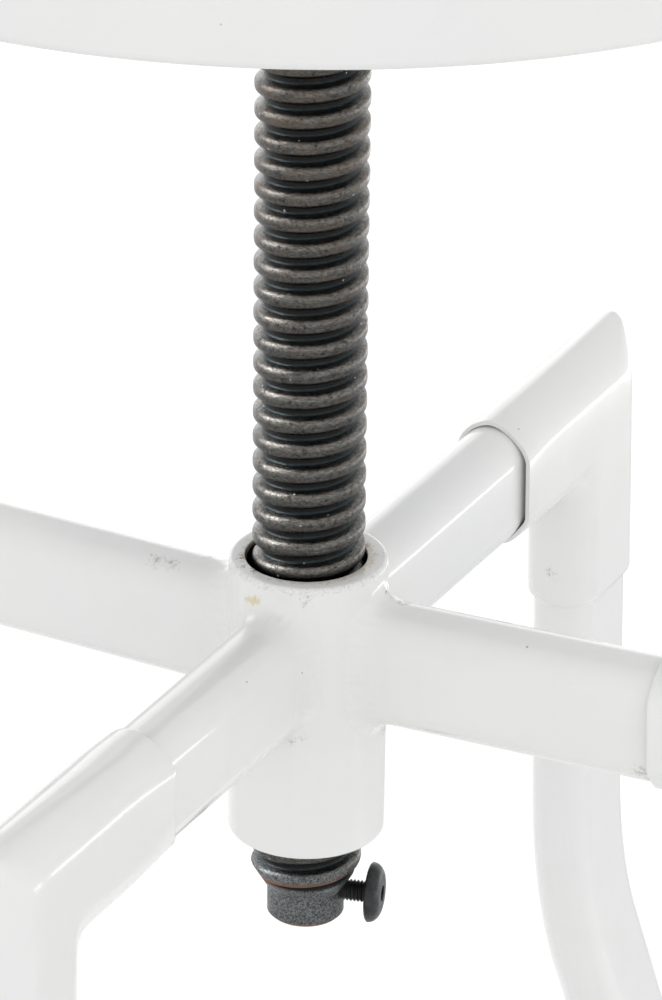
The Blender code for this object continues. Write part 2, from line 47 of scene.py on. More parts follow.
# Hub, arms and elbow sleeves
ARM_HEIGHT = 535.0 * mm
ARM_RISE = math.radians(1.7)
ARM_ROOT = 18.6 * mm
ARM_LENGTH = 141.0 * mm
HUB_RADIUS = 21.2 * mm
HUB_BORE_RADIUS = 18.0 * mm
HUB_TOP = ARM_HEIGHT + 26.7 * mm
HUB_BOTTOM = ARM_HEIGHT - 54.4 * mm
HUB_INNER_EDGE = 0.6 * mm
HUB_LOWER_EDGE = 1.6 * mm
HUB_UPPER_EDGE = 1.3 * mm
HUB_LIP_RADIUS = 16.3 * mm
HUB_LIP_DEPTH = 1.1 * mm
HUB_LIP_EDGE = 0.3 * mm
HUB_LIP_SHIFT = (-0.6 * mm, 0.2 * mm, 0.0)
HUB_EDGE_STEPS = 8
HUB_LIP_STEPS = 5
HUB_SEGMENTS = 128
TUBE_WIDTH = 19.0 * mm
TUBE_DEPTH = 35.0 * mm
TUBE_WALL = 1.5 * mm
TUBE_END = 1.2 * mm
TUBE_RIM = 0.3 * mm
SLEEVE_WIDTH = 22.6 * mm
SLEEVE_DEPTH = 38.6 * mm
SLEEVE_WALL = 1.2 * mm
SLEEVE_REACH = 163.2 * mm
SLEEVE_DROP = 58.6 * mm
SLEEVE_TAPER = 3.4 * mm
SLEEVE_TAPER_STEPS = 5
SLEEVE_PINCH = 1.9 * mm
SLEEVE_HOLD = 1.0 * mm
MITRE_PEAK_ROUND = 1.2 * mm
MITRE_FLANK_ROUND = 9.0 * mm
MITRE_INNER_ROUND = 6.5 * mm
MITRE_PEAK = 2.3 * mm
MITRE_PEAK_HALF = 7.0 * mm
MITRE_FLANK_FROM = 0.3
MITRE_FLANK_SPAN = 0.55
MITRE_STEPS = 6
MOUTH_RUN = 24.0 * mm
MOUTH_RINGS = (0.0, 1.2, 4.0, 8.0, 15.0, 24.0)
MOUTH_GAP = 0.08 * mm
MOUTH_SIDE_GAP = 1.5 * mm
MOUTH_TOP_GAP = 0.6 * mm
MOUTH_CLOSING_ABOVE = 6
MOUTH_CLOSING_BELOW = 18
MOUTH_TOP_CLOSING = 12
LOOSE_SIDE = {"front_left": 1, "front_right": -1, "back_right": -1, "back_left": 1}
SLIP_GAP = 0.6 * mm
OVAL_SEGMENTS = 48
CREASE_ANGLE = math.radians(40)
RIM_ANGLE = math.radians(50)
SAME_POINT = 0.001 * mm

# Welds between arms and hub
WELD_ON_ARM = 9.5 * mm
WELD_ON_HUB = 7.0 * mm
WELD_SINK = 0.012 * mm
WELD_RIPPLE = 0.16 * mm
WELD_RIPPLE_PITCH = 2.6 * mm
WELD_RIPPLE_SWAY = 3
WELD_RIPPLE_SHARE = 0.35
WELD_UNEVEN = 0.2
WELD_LUMPS = 0.13
WELD_POOLS = 0.22
WELD_POOL_SEED = 40
WELD_NOSE = 8.0 * mm
WELD_STEPS = 14
WELD_SIDE_CUTS = 40
WELD_NOSE_CUTS = 2

# Legs, feet and footrest
LEG_LEAN = math.radians(2.3)
LEG_TOP = 22.0 * mm
LEG_UPPER = 124.5 * mm
LEG_BEND_RADIUS = 150.0 * mm
LEG_BEND_OUT = math.radians(25.0)
LEG_SLANT = 45.0 * mm
LEG_BEND_BACK = math.radians(18.0)
LEG_END_HEIGHT = 7.0 * mm
LEG_BEND_STEPS = 24
FOOT_HEIGHT = 30.0 * mm
FOOT_GROW = 2.5 * mm
FOOT_EDGE = 1.2 * mm
FOOT_BORE_GAP = 0.3 * mm
FOOT_SEAT_GAP = 0.3 * mm
FOOT_LIP_IN = 0.3 * mm
FOOT_LIP_FLAT = 0.9 * mm
FOOT_LIP_OUT = 0.8 * mm
FOOT_GROOVES = (6.0, 11.0, 16.0)
FOOT_GROOVE = ((0.0, 0.0), (0.5, -0.5), (1.5, -0.5), (2.0, 0.0))
RING_HEIGHT = 205.0 * mm
RING_TUBE_RADIUS = 8.0 * mm
RING_GAP = 0.3 * mm
RING_TUBE_STEPS = 36
RING_SEGMENTS = 192

# Spindle, stop bolt and screws
PITCH = 7.1 * mm
CREST_RADIUS = 15.0 * mm
ROOT_RADIUS = 12.6 * mm
CREST_WIDTH = 3.3 * mm
FLANK_WIDTH = 1.0 * mm
CREST_ROUND = 1.6 * mm
ROOT_ROUND = 0.8 * mm
THREAD_SHIFT = -3.12 * mm
THREAD_STEPS = 64
THREAD_SAME_POINT = 0.02 * mm
CUT_FLAT = 0.005 * mm
THREAD_LOW = ARM_HEIGHT - 73.0 * mm
THREAD_HIGH = 770.1 * mm
RUN_OUT_START = THREAD_LOW + 0.3 * mm
RUN_OUT_LENGTH = 7.6 * mm
NECK_RADIUS = 12.0 * mm
NECK_CHAMFER = 3.0 * mm
NECK_TOP = 784.4 * mm
STUB_RADIUS = 10.45 * mm
STUB_LENGTH = 8.3 * mm
STUB_EDGE = 1.0 * mm
STUB_EDGE_STEPS = ((0.3, 0.25), (0.7, 0.75))
TURNED_FROM = RUN_OUT_START + 11.1 * mm
TURNED_TO = RUN_OUT_START + 9.1 * mm
WARM_FROM, WARM_TO = 620.0 * mm, 740.0 * mm
PHASE_RAGGED = 0.055
STOP_BOLT_HEIGHT = ARM_HEIGHT - 73.5 * mm
STOP_BOLT_ANGLE = math.radians(-30.0)
STOP_BOLT_UNDER_HEAD = 17.6 * mm
STOP_BOLT_LENGTH = 26.1 * mm
STOP_HEAD_RADIUS = 8.25 * mm
STOP_HEAD_HEIGHT = 3.8 * mm
STOP_SOCKET_FLATS = 4.0 * mm
BUTTON_RADIUS = 5.25 * mm
BUTTON_HEIGHT = 3.3 * mm
BUTTON_SOCKET_FLATS = 3.2 * mm
BOLT_RADIUS = 3.0 * mm
BOLT_PITCH = 1.0 * mm
BOLT_THREAD_DEPTH = 0.5 * mm
BOLT_STEPS = 24
HEAD_RIM, HEAD_FLAT, HEAD_DEPTH = 0.12, 0.5, 0.55
HEAD_STEPS = 8
HEAD_SEGMENTS = 48
HEX_HALF = math.radians(30)
SOCKET_LIP = 0.25 * mm
LOCK_SCREW_REACH = 122.8 * mm
LOCK_SCREW_SINK = 0.2 * mm
LOCK_SCREW_LENGTH = 9.0 * mm
LOCK_SOCKET_FLATS = 3.0 * mm
LOCK_SOCKET_DEPTH = 2.0 * mm
REST_HEAD_GAP = 1.0 * mm
REST_SCREW_GRIP = 10.0 * mm

# Seat
SEAT_RADIUS = 171.0 * mm
SEAT_RIM = ARM_HEIGHT + 231.0 * mm
SEAT_SKIRT = 33.6 * mm
SEAT_DRAFT = 3.0 * mm
SEAT_SHOULDER = 14.0 * mm
SEAT_DISH = 9.0 * mm
SEAT_FLAT_RADIUS = 75.0 * mm
SEAT_SHEET = 1.6 * mm
SEAT_CURL = 2.6 * mm
SEAT_SEGMENTS = 192
SEAT_STEPS = 16
SEAT_SHOULDER_END = 6
SEAT_CURL_STEPS = 12


# Shapes


def arc(centre_x, centre_z, radius, start, end, steps):
    """Points of an arc in the XZ plane, with angles in degrees from +X towards +Z."""
    angles = [math.radians(start + (end - start) * i / steps) for i in range(steps + 1)]
    return [(centre_x + radius * math.cos(a), centre_z + radius * math.sin(a)) for a in angles]


def chain(bm, points, closed):
    verts = [bm.verts.new((x, 0, z)) for x, z in points]
    ends = verts[1:] + verts[:1] if closed else verts[1:]
    return [bm.edges.new(pair) for pair in zip(verts, ends)]


def clamp(value, low=0.0, high=1.0):
    return max(low, min(high, value))


def points_of(edges):
    return {v for e in edges for v in e.verts}


def turned(points, segments, closed=False):
    """A body of revolution about Z. An open profile runs from the axis to the axis."""
    bm = bmesh.new()
    edges = chain(bm, points, closed)
    outline = edges + list(points_of(edges))
    bmesh.ops.spin(bm, geom=outline, axis=(0, 0, 1), angle=math.tau, steps=segments, use_merge=True)
    return bm


def grow(bm, edges, move):
    """Extrudes a loop of edges and moves each new point."""
    made = bmesh.ops.extrude_edge_only(bm, edges=edges)["geom"]
    fresh = {g for g in made if isinstance(g, bmesh.types.BMVert)}
    for vert in fresh:
        vert.co = move(vert.co.copy())
    return [g for g in made if isinstance(g, bmesh.types.BMEdge) and set(g.verts) <= fresh]


def down(lean):
    return Vector((math.sin(lean), 0, -math.cos(lean)))


def out(lean):
    return Vector((math.cos(lean), 0, math.sin(lean)))


def square_to(centre, lean):
    """A frame square to a path that leans out from straight down: X along the depth, Y across."""
    axes = Matrix((out(lean), Vector((0, 1, 0)), -down(lean))).transposed()
    return Matrix.Translation(centre) @ axes.to_4x4()


def oval(bm, width, depth, at, side_cuts=0):
    """A flat-oval loop of edges in the X and Y of a frame, depth along X."""
    verts = bmesh.ops.create_circle(bm, segments=OVAL_SEGMENTS, radius=width / 2)["verts"]
    bmesh.ops.rotate(bm, verts=verts, matrix=Matrix.Rotation(math.pi / OVAL_SEGMENTS, 3, "Z"))
    for way in (1, -1):
        half = [v for v in verts if v.co.x * way > 0]
        bmesh.ops.translate(bm, verts=half, vec=(way * (depth - width) / 2, 0, 0))
    if side_cuts:
        sides = [e for e in bm.edges if e.verts[0].co.x * e.verts[1].co.x < 0]
        bmesh.ops.subdivide_edges(bm, edges=sides, cuts=side_cuts)
    bmesh.ops.transform(bm, matrix=at, verts=bm.verts[:])
    return bm.edges[:]


def to_plane(bm, edges, direction, point, normal):
    """Draws a loop along direction until each of its points meets the plane."""
    return grow(bm, edges, lambda p: p + direction * ((point - p).dot(normal) / direction.dot(normal)))


def bend(bm, edges, position, lean, angle):
    """Spins a loop round a tube bend in the XZ plane."""
    centre = bend_centre(position, lean, angle)
    outline = edges + list(points_of(edges))
    spun = bmesh.ops.spin(bm, geom=outline, cent=centre, axis=(0, -1, 0), angle=angle, steps=LEG_BEND_STEPS)
    return [g for g in spun["geom_last"] if isinstance(g, bmesh.types.BMEdge)]


def bend_centre(position, lean, angle):
    return position + out(lean) * math.copysign(LEG_BEND_RADIUS, angle)


def past_bend(position, lean, angle):
    centre = bend_centre(position, lean, angle)
    return centre + Matrix.Rotation(-angle, 3, "Y") @ (position - centre)


def set_round(bm, azimuth):
    """Turns a piece made over +X to its own corner of the stool."""
    bmesh.ops.rotate(bm, verts=bm.verts[:], matrix=Matrix.Rotation(math.radians(azimuth), 3, "Z"))


def shown(name, data):
    """Links a new object to the scene."""
    made = bpy.data.objects.new(name, data)
    bpy.context.scene.collection.objects.link(made)
    return made


def piece(name, bm, body, slot, look, *nodes):
    """Closes a bmesh into a smooth piece on a body, in place of the named solids."""
    bmesh.ops.remove_doubles(bm, verts=bm.verts[:], dist=SAME_POINT)
    bmesh.ops.recalc_face_normals(bm, faces=bm.faces[:])
    mesh = bpy.data.meshes.new(name)
    bm.to_mesh(mesh)
    bm.free()
    mesh.shade_smooth()
    mesh.set_sharp_from_angle(angle=CREASE_ANGLE)
    mesh.materials.append(look)
    made = shown(name, mesh)
    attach(made, body)
    if nodes:
        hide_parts(*nodes)
    return made


def tube_wall(tube, wall):
    """Gives a tube's outer skin its wall, inwards, and breaks the sharp rims."""
    thick = tube.modifiers.new("wall", "SOLIDIFY")
    thick.thickness = wall
    thick.offset = -1
    thick.use_even_offset = True
    edge = tube.modifiers.new("rim", "BEVEL")
    edge.width = TUBE_RIM
    edge.segments = 2
    edge.limit_method = "ANGLE"
    edge.angle_limit = RIM_ANGLE


# Materials


class Field:
    """A number or a place that varies over a material, which can be reckoned with like a plain one."""

    def __init__(self, look, socket):
        self.look, self.socket = look, socket

    def through(self, kind, output, inputs, **settings):
        return Field(self.look, node(self.look, kind, inputs, **settings).outputs[output])

    def sums(self, kind, other=0.0):
        return self.through("ShaderNodeMath", 0, {0: self, 1: other}, operation=kind)

    def __add__(self, other):
        return self.sums("ADD", other)

    def __sub__(self, other):
        return self.sums("SUBTRACT", other)

    def __rsub__(self, other):
        return self.through("ShaderNodeMath", 0, {0: other, 1: self}, operation="SUBTRACT")

    def __mul__(self, other):
        return self.sums("MULTIPLY", other)

    def __truediv__(self, other):
        return self.sums("DIVIDE", other)

    def __mod__(self, other):
        return self.sums("FLOORED_MODULO", other)

    def __abs__(self):
        return self.sums("ABSOLUTE")

    def most(self, other):
        return self.sums("MAXIMUM", other)

    def spread(self, low, high, to_low=0.0, to_high=1.0):
        """Maps low and high to new values and holds whatever lies beyond them."""
        inputs = {"Value": self, "From Min": low, "From Max": high, "To Min": to_low, "To Max": to_high}
        return self.through("ShaderNodeMapRange", "Result", inputs)

    def tint(self, first, second):
        """Mixes two colours, each plain or a field, by this share."""
        first, second = ((*c, 1) if isinstance(c, tuple) else c for c in (first, second))
        return self.through("ShaderNodeMix", 2, {"Factor": self, 6: first, 7: second}, data_type="RGBA")

    def grain(self, scale, detail=3.0, roughness=0.55):
        """Cloudy noise, with its scale in cycles per metre."""
        inputs = {"Vector": self, "Scale": scale, "Detail": detail, "Roughness": roughness}
        return self.through("ShaderNodeTexNoise", "Fac", inputs)

    def scattered(self, scale, edge, core, channel):
        """Small round spots in a few cells of a net; edge and core are shares of a cell."""
        cells = node(self.look, "ShaderNodeTexVoronoi", {"Vector": self, "Scale": scale}).outputs
        chance = self.through("ShaderNodeSeparateColor", channel, {0: Field(self.look, cells["Color"])})
        return Field(self.look, cells["Distance"]).spread(edge, core) * chance.spread(*RARE)

    def axis(self, name):
        return self.through("ShaderNodeSeparateXYZ", name, {0: self})

    def vector(self, kind, output, other=(0, 0, 0)):
        return self.through("ShaderNodeVectorMath", output, {0: self, 1: other}, operation=kind)

    def radius(self):
        """Distance of a point from the spindle's axis."""
        return self.vector("MULTIPLY", "Vector", (1, 1, 0)).vector("LENGTH", "Value")

    def drawn_out(self, share):
        """The place with its height scaled, which draws a pattern out sideways."""
        return self.through("ShaderNodeMapping", 0, {"Vector": self, "Scale": (1, 1, share)})

    def turn_phase(self):
        """How far a point lies above the middle of its thread crest, as a share of the pitch from -0.5 to 0.5."""
        angle = self.axis("Y").sums("ARCTAN2", self.axis("X"))
        turns = (self.axis("Z") - THREAD_SHIFT) / PITCH - angle / math.tau
        return (turns + 0.5) % 1.0 - 0.5

    def near(self, centre, reach, blur):
        """A soft spot that is 1 at a place, in millimetres, and 0 past its reach, broken up by blur."""
        away = self.vector("DISTANCE", "Value", tuple(c * mm for c in centre))
        return (away + blur).spread(reach * mm, SPOT_CORE * reach * mm)


def look_for(name, colour, roughness, metallic=0.0, specular=0.5, **sockets):
    """A node material with one shader; the sockets given hold one value all over."""
    made = bpy.data.materials.new(name)
    made.use_nodes = True
    shader = made.node_tree.nodes["Principled BSDF"]
    shader.inputs["Base Color"].default_value = (*colour, 1)
    shader.inputs["Roughness"].default_value = roughness
    shader.inputs["Metallic"].default_value = metallic
    shader.inputs["Specular IOR Level"].default_value = specular
    for socket, value in sockets.items():
        shader.inputs[socket.replace("_", " ").title()].default_value = value
    return made


def connect(look, value, socket):
    """Feeds a socket with a field or a plain value."""
    if isinstance(value, Field):
        look.node_tree.links.new(value.socket, socket)
    else:
        socket.default_value = value


def node(look, kind, inputs=(), **settings):
    """Adds a node, sets its properties and feeds its inputs."""
    made = look.node_tree.nodes.new(kind)
    for setting, value in settings.items():
        setattr(made, setting, value)
    for key, value in dict(inputs).items():
        connect(look, value, made.inputs[key])
    return made


def feed(look, socket, value):
    connect(look, value, look.node_tree.nodes["Principled BSDF"].inputs[socket])


def emboss(look, height, strength, depth):
    """Feeds the shader's normal with the bumps of a height."""
    inputs = {"Height": height, "Strength": strength, "Distance": depth}
    feed(look, "Normal", height.through("ShaderNodeBump", "Normal", inputs))


def place_of(look, kind="Object"):
    return Field(look, node(look, "ShaderNodeTexCoord").outputs[kind])


# Wear in the paint, by place in millimetres, with its reach and how strong it is
GRIME = [
    ((-34.6, 26.6, 552.3), 2.4, 0.6), ((-31.0, 23.6, 552.4), 2.6, 0.6), ((-20.4, 22.4, 553.2), 1.7, 0.9),
    ((16.8, -14.7, 555.2), 1.4, 0.9), ((18.0, -15.3, 554.1), 1.3, 0.8), ((20.0, -18.6, 553.3), 1.7, 0.9),
    ((22.1, -19.7, 553.2), 1.5, 0.9), ((18.8, -9.9, 511.8), 1.6, 0.9), ((17.8, -12.5, 512.2), 1.2, 0.8),
    ((-10.9, -19.2, 517.2), 2.3, 0.4), ((-8.4, -19.9, 518.1), 1.7, 0.4), ((-7.1, -20.0, 557.9), 1.7, 0.55),
    ((-7.1, -20.0, 560.2), 1.0, 0.5), ((66.0, -78.4, 526.4), 3.0, 0.7), ((67.7, -78.5, 524.4), 2.4, 0.7),
    ((105.6, 100.4, 494.1), 1.7, 0.4), ((106.4, 99.8, 492.1), 1.7, 0.4),
]
SPECKS = [(-9.2, -23.8, 539.5), (-30.5, -43.6, 549.9), (43.4, -51.1, 552.8), (84.4, 71.0, 555.2)]
SPECKS += [(-18.5, 9.5, 561.7), (-17.2, -6.5, 561.7)]
SPECK_REACH, SPECK_STRENGTH = 0.42, 0.75
STAINS = [(-19.4, -8.5, 554.9), (-18.6, -10.1, 555.4), (-17.8, -11.6, 556.1)]
STAIN_REACH, STAIN_STRENGTH = 1.6, 0.8
FLAKES = [((-16.9, 3.6, 561.6), 2.4), ((-18.7, -1.7, 561.7), 1.2), ((-16.4, -4.5, 561.6), 1.5)]
FLAKES += [((16.2, 0.6, 561.6), 1.9)]
SPOT_CORE = 0.25
SPOT_BLUR = 1.6 * mm
RARE = (0.93, 0.94)
SCRATCH_HEIGHT = HUB_TOP - 0.95 * mm
SCRATCH_EDGE, SCRATCH_CORE, SCRATCH_STRENGTH = 0.22 * mm, 0.08 * mm, 0.6
SOIL_EDGE, SOIL_CORE, SOIL_STRENGTH = 18.3 * mm, 16.4 * mm, 0.6
MOTE_STRENGTH = 0.6

# Depths of the bumps in paint and thread
PEEL_DEPTH, SAG_DEPTH, MOTE_DEPTH = 0.02 * mm, 0.5 * mm, 0.08 * mm
FINE_DEPTH, CRUMB_DEPTH, STREAK_DEPTH = 0.19 * mm, 0.25 * mm, 0.04 * mm

# Colours, as linear red, green and blue; two in one line are mixed by a noise
PAINT = ((0.795, 0.805, 0.80), (0.83, 0.828, 0.815))
PAINT_CLOUD = (0.70, 0.71, 0.70)
GRIME_GREY = (0.20, 0.19, 0.17)
SPECK_BROWN = (0.16, 0.15, 0.14)
MOTE_GREY = (0.3, 0.29, 0.27)
STAIN_YELLOW = (0.70, 0.61, 0.40)
FLAKE_RUST = (0.10, 0.055, 0.025)
SCRATCH_GREY = (0.25, 0.24, 0.22)
SOIL_BEIGE = (0.56, 0.47, 0.34)
CREST = ((0.038, 0.037, 0.035), (0.112, 0.109, 0.102))
# The crest's upper edge: worn bright steel plus a painted highlight where its rounding is lit from above
CREST_EDGE_WEAR_AND_HIGHLIGHT = ((0.07, 0.067, 0.062), (0.215, 0.205, 0.19))
CREST_SHADE = (0.02, 0.019, 0.018)
CREST_PIT = (0.018, 0.016, 0.014)
CREST_WARM = (0.14, 0.10, 0.072)
FLANK = ((0.008, 0.017, 0.02), (0.03, 0.046, 0.05))
ROOT = ((0.003, 0.003, 0.003), (0.010, 0.009, 0.008))
RAW_STEEL = ((0.028, 0.034, 0.038), (0.22, 0.232, 0.235))
RAW_RUST = (0.12, 0.08, 0.055)
RIM_RUST = (0.2, 0.09, 0.045)
END_RUST = (0.26, 0.11, 0.05)
CRUMB_GREY = (0.42, 0.41, 0.39)
OXIDE = ((0.017, 0.018, 0.02), (0.05, 0.05, 0.052))
TURNED_STEEL = ((0.46, 0.45, 0.43), (0.3, 0.29, 0.27))
OILY_STEEL = ((0.02, 0.018, 0.016), (0.07, 0.055, 0.042))
RUBBER = ((0.50, 0.50, 0.49), (0.58, 0.575, 0.56))
SOLE_DIRT = (0.25, 0.24, 0.23)


def gloss_white():
    """Stove-enamelled white: slow colour drift, soft sags, dust specks, scuffs, stains, rusted chips and soil."""
    look = look_for("gloss_white_paint", (0.8, 0.8, 0.79), 0.16, specular=0.32, coat_weight=0.22, coat_roughness=0.11)
    place = place_of(look)
    height, radius = place.axis("Z"), place.radius()
    colour = place.grain(9.0, 4.0).spread(0.35, 0.65).tint(*PAINT)
    colour = place.grain(60.0, 5.0, 0.65).spread(0.5, 0.78, 0.0, 0.16).tint(colour, PAINT_CLOUD)
    rough_edge = place.grain(900.0, 4.0, 0.7).spread(0.3, 0.7, -SPOT_BLUR, SPOT_BLUR)
    fleck = place.grain(700.0, 5.0, 0.8).spread(0.45, 0.62)
    for centre, reach, strength in GRIME:
        colour = (place.near(centre, reach, rough_edge) * fleck * strength).tint(colour, GRIME_GREY)
    for centre in SPECKS:
        colour = (place.near(centre, SPECK_REACH, 0.0) * SPECK_STRENGTH).tint(colour, SPECK_BROWN)
    for centre in STAINS:
        colour = (place.near(centre, STAIN_REACH, rough_edge) * STAIN_STRENGTH).tint(colour, STAIN_YELLOW)
    for centre, reach in FLAKES:
        flake = place.near(centre, reach, rough_edge) * fleck
        colour = flake.spread(0.15, 0.4).tint(colour, FLAKE_RUST)
    line = abs(height + rough_edge - SCRATCH_HEIGHT).spread(SCRATCH_EDGE, SCRATCH_CORE)
    line *= fleck.spread(0.0, 1.0, 0.35, 1.0)
    line *= radius.spread(HUB_RADIUS + 0.3 * mm, HUB_RADIUS + 0.1 * mm)
    colour = (line * SCRATCH_STRENGTH).tint(colour, SCRATCH_GREY)
    top = height.spread(HUB_TOP - 1.2 * mm, HUB_TOP - 0.4 * mm)
    top *= height.spread(HUB_TOP + 2.0 * mm, HUB_TOP + 1.0 * mm)
    soil = (radius + rough_edge).spread(SOIL_EDGE, SOIL_CORE) * top
    colour = (soil * SOIL_STRENGTH).tint(colour, SOIL_BEIGE)
    mote = place.scattered(70.0, 0.022, 0.012, 0)
    feed(look, "Base Color", (mote * MOTE_STRENGTH).tint(colour, MOTE_GREY))
    feed(look, "Roughness", place.grain(35.0, 4.0).spread(0.3, 0.7, 0.11, 0.2))
    skin = place.grain(420.0, 2.0) * PEEL_DEPTH + place.grain(38.0, 2.0) * SAG_DEPTH
    emboss(look, skin + mote * MOTE_DEPTH, 0.35, 1.0)
    return look


def black_thread():
    """Blackened, oiled screw: worn crests whose upper edges are paler from wear and a painted highlight and whose
    lower parts hold painted shade, blue-black grooves, a raw turned end with rust.
    """
    look = look_for("black_oxide_thread", (0.05, 0.05, 0.05), 0.4, 1.0)
    place = place_of(look)
    height, phase = place.axis("Z"), place.turn_phase()
    fine = place.grain(1500.0, 4.0, 0.7)
    ragged_phase = phase + fine.spread(0.3, 0.7, -PHASE_RAGGED, PHASE_RAGGED)
    worn = ragged_phase.spread(0.36, 0.31) * ragged_phase.spread(-0.31, -0.26)
    streak = place.drawn_out(2.5).grain(900.0, 5.0, 0.8).spread(0.39, 0.61)
    # Upper part of each crest paler (wear and painted highlight), lower part darkened with CREST_SHADE (painted
    # shade)
    grey = ragged_phase.spread(0.0, 0.12).tint(streak.tint(*CREST), streak.tint(*CREST_EDGE_WEAR_AND_HIGHLIGHT))
    grey = (ragged_phase.spread(-0.1, -0.24) * 0.35).tint(grey, CREST_SHADE)
    grey = (place.grain(620.0, 4.0, 0.7).spread(0.55, 0.65) * 0.8).tint(grey, CREST_PIT)
    warmth = height.spread(WARM_FROM, WARM_TO) * place.grain(160.0).spread(0.4, 0.62)
    grey = (warmth * 0.55).tint(grey, CREST_WARM)
    dusty = fine.spread(0.4, 0.65)
    groove = (phase % 1.0).spread(0.37, 0.48).tint(dusty.tint(*FLANK), dusty.tint(*ROOT))
    raw = place.grain(1700.0, 5.0, 0.8).spread(0.4, 0.6).tint(*RAW_STEEL)
    raw = (place.grain(520.0, 4.0).spread(0.5, 0.66) * 0.3).tint(raw, RAW_RUST)
    turned_end = height.spread(TURNED_FROM, TURNED_TO)
    grey = turned_end.tint(grey, (ragged_phase.spread(-0.06, -0.2) * 0.8).tint(raw, RIM_RUST))
    stub = height.spread(THREAD_LOW + 2.2 * mm, THREAD_LOW + 0.8 * mm)
    cone = height.spread(RUN_OUT_START, RUN_OUT_START + RUN_OUT_LENGTH, STUB_RADIUS, CREST_RADIUS)
    shallow = (cone - place.radius()).spread(0.5 * mm, 0.1 * mm)
    bare = worn.most(stub).most(shallow)
    foot = THREAD_LOW - STUB_LENGTH
    plain = height.spread(foot + 1.3 * mm, foot + 0.4 * mm).tint(raw, END_RUST)
    colour = stub.tint(bare.tint(groove, grey), plain)
    crumb = place.scattered(520.0, 0.2, 0.08, 1)
    feed(look, "Base Color", crumb.tint(colour, CRUMB_GREY))
    feed(look, "Metallic", bare.spread(0.0, 1.0, 0.7, 1.0))
    oil = place.grain(240.0, 4.0).spread(0.35, 0.65, 0.16, 0.32)
    feed(look, "Roughness", oil + phase.spread(0.12, 0.24) * -0.1 + turned_end * 0.3)
    emboss(look, fine * FINE_DEPTH + crumb * CRUMB_DEPTH + streak * STREAK_DEPTH, 0.6, 1.0)
    return look


def satin_black():
    """Black oxide bolts: even satin with faint handling marks."""
    look = look_for("black_oxide_bolts", (0.03, 0.031, 0.033), 0.42, 0.55)
    place = place_of(look)
    feed(look, "Base Color", place.grain(320.0, 4.0, 0.6).spread(0.4, 0.7).tint(*OXIDE))
    feed(look, "Roughness", place.grain(800.0, 3.0).spread(0.3, 0.7, 0.32, 0.48))
    emboss(look, place.grain(2200.0), 0.2, 0.1 * mm)
    return look


def bright_steel():
    """Plain machined steel with a faint lathe grain and dulled patches."""
    look = look_for("machined_steel", (0.4, 0.4, 0.39), 0.35, 1.0)
    place = place_of(look)
    cut = place.drawn_out(20)
    feed(look, "Base Color", place.grain(90.0, 4.0).spread(0.4, 0.65).tint(*TURNED_STEEL))
    feed(look, "Roughness", cut.grain(300.0).spread(0.3, 0.7, 0.25, 0.45))
    emboss(look, cut.grain(500.0), 0.2, 0.1 * mm)
    return look


def bush_steel():
    """The threaded bush: oily dark steel."""
    look = look_for("oily_bush_steel", (0.1, 0.1, 0.1), 0.4, 0.8)
    place = place_of(look)
    feed(look, "Base Color", place.grain(300.0, 4.0).spread(0.4, 0.65).tint(*OILY_STEEL))
    feed(look, "Roughness", place.grain(500.0).spread(0.3, 0.7, 0.3, 0.55))
    emboss(look, place.grain(900.0), 0.2, 0.2 * mm)
    return look


def boot_rubber():
    """Matt moulded rubber with dust in its grain and dirt on its sole."""
    look = look_for("grey_boot_rubber", (0.5, 0.5, 0.49), 0.75)
    place = place_of(look)
    dust = place.grain(140.0, 5.0, 0.65).spread(0.4, 0.7)
    sole = place.axis("Z").spread(6 * mm, 0.5 * mm, 0.0, 0.5)
    feed(look, "Base Color", sole.tint(dust.tint(*RUBBER), SOLE_DIRT))
    feed(look, "Roughness", dust.spread(0.0, 1.0, 0.65, 0.85))
    emboss(look, place.grain(1300.0), 0.3, 0.2 * mm)
    return look


# Hub, arms and welds


def dress_hub(paint):
    """The hub tube with its rolled edges and the painted lip that covers the bush."""
    inner, low, high = HUB_INNER_EDGE, HUB_LOWER_EDGE, HUB_UPPER_EDGE
    profile = [(HUB_BORE_RADIUS, HUB_BOTTOM + inner), (HUB_BORE_RADIUS + inner, HUB_BOTTOM)]
    profile += arc(HUB_RADIUS - low, HUB_BOTTOM + low, low, 270, 360, HUB_EDGE_STEPS)
    profile += arc(HUB_RADIUS - high, HUB_TOP - high, high, 0, 90, HUB_EDGE_STEPS)
    profile += arc(HUB_LIP_RADIUS + HUB_LIP_EDGE, HUB_TOP - HUB_LIP_EDGE, HUB_LIP_EDGE, 90, 180, HUB_LIP_STEPS)
    profile += [(HUB_LIP_RADIUS, HUB_TOP - HUB_LIP_DEPTH), (HUB_BORE_RADIUS, HUB_TOP - HUB_LIP_DEPTH)]
    bm = turned(profile, HUB_SEGMENTS, closed=True)
    lip = [v for v in bm.verts if math.hypot(v.co.x, v.co.y) < HUB_LIP_RADIUS + 1.1 * HUB_LIP_EDGE]
    bmesh.ops.translate(bm, verts=lip, vec=HUB_LIP_SHIFT)
    piece("hub_painted", bm, "frame", "white_paint", paint, "hub_tube")


def along_arm():
    return Vector((math.cos(ARM_RISE), 0, math.sin(ARM_RISE)))


def dress_arm(corner, azimuth, paint):
    bm = bmesh.new()
    start = Vector((0, 0, ARM_HEIGHT)) + along_arm() * ARM_ROOT
    edges = oval(bm, TUBE_WIDTH, TUBE_DEPTH, square_to(start, math.radians(90) + ARM_RISE))
    for run in (TUBE_END, ARM_LENGTH - ARM_ROOT - 2 * TUBE_END, TUBE_END):
        edges = grow(bm, edges, lambda p: p + along_arm() * run)
    set_round(bm, azimuth)
    tube_wall(piece("arm_tube_" + corner, bm, "frame", "white_paint", paint, "arm_" + corner), TUBE_WALL)


def hub_face(across):
    return math.sqrt(HUB_RADIUS**2 - across**2)


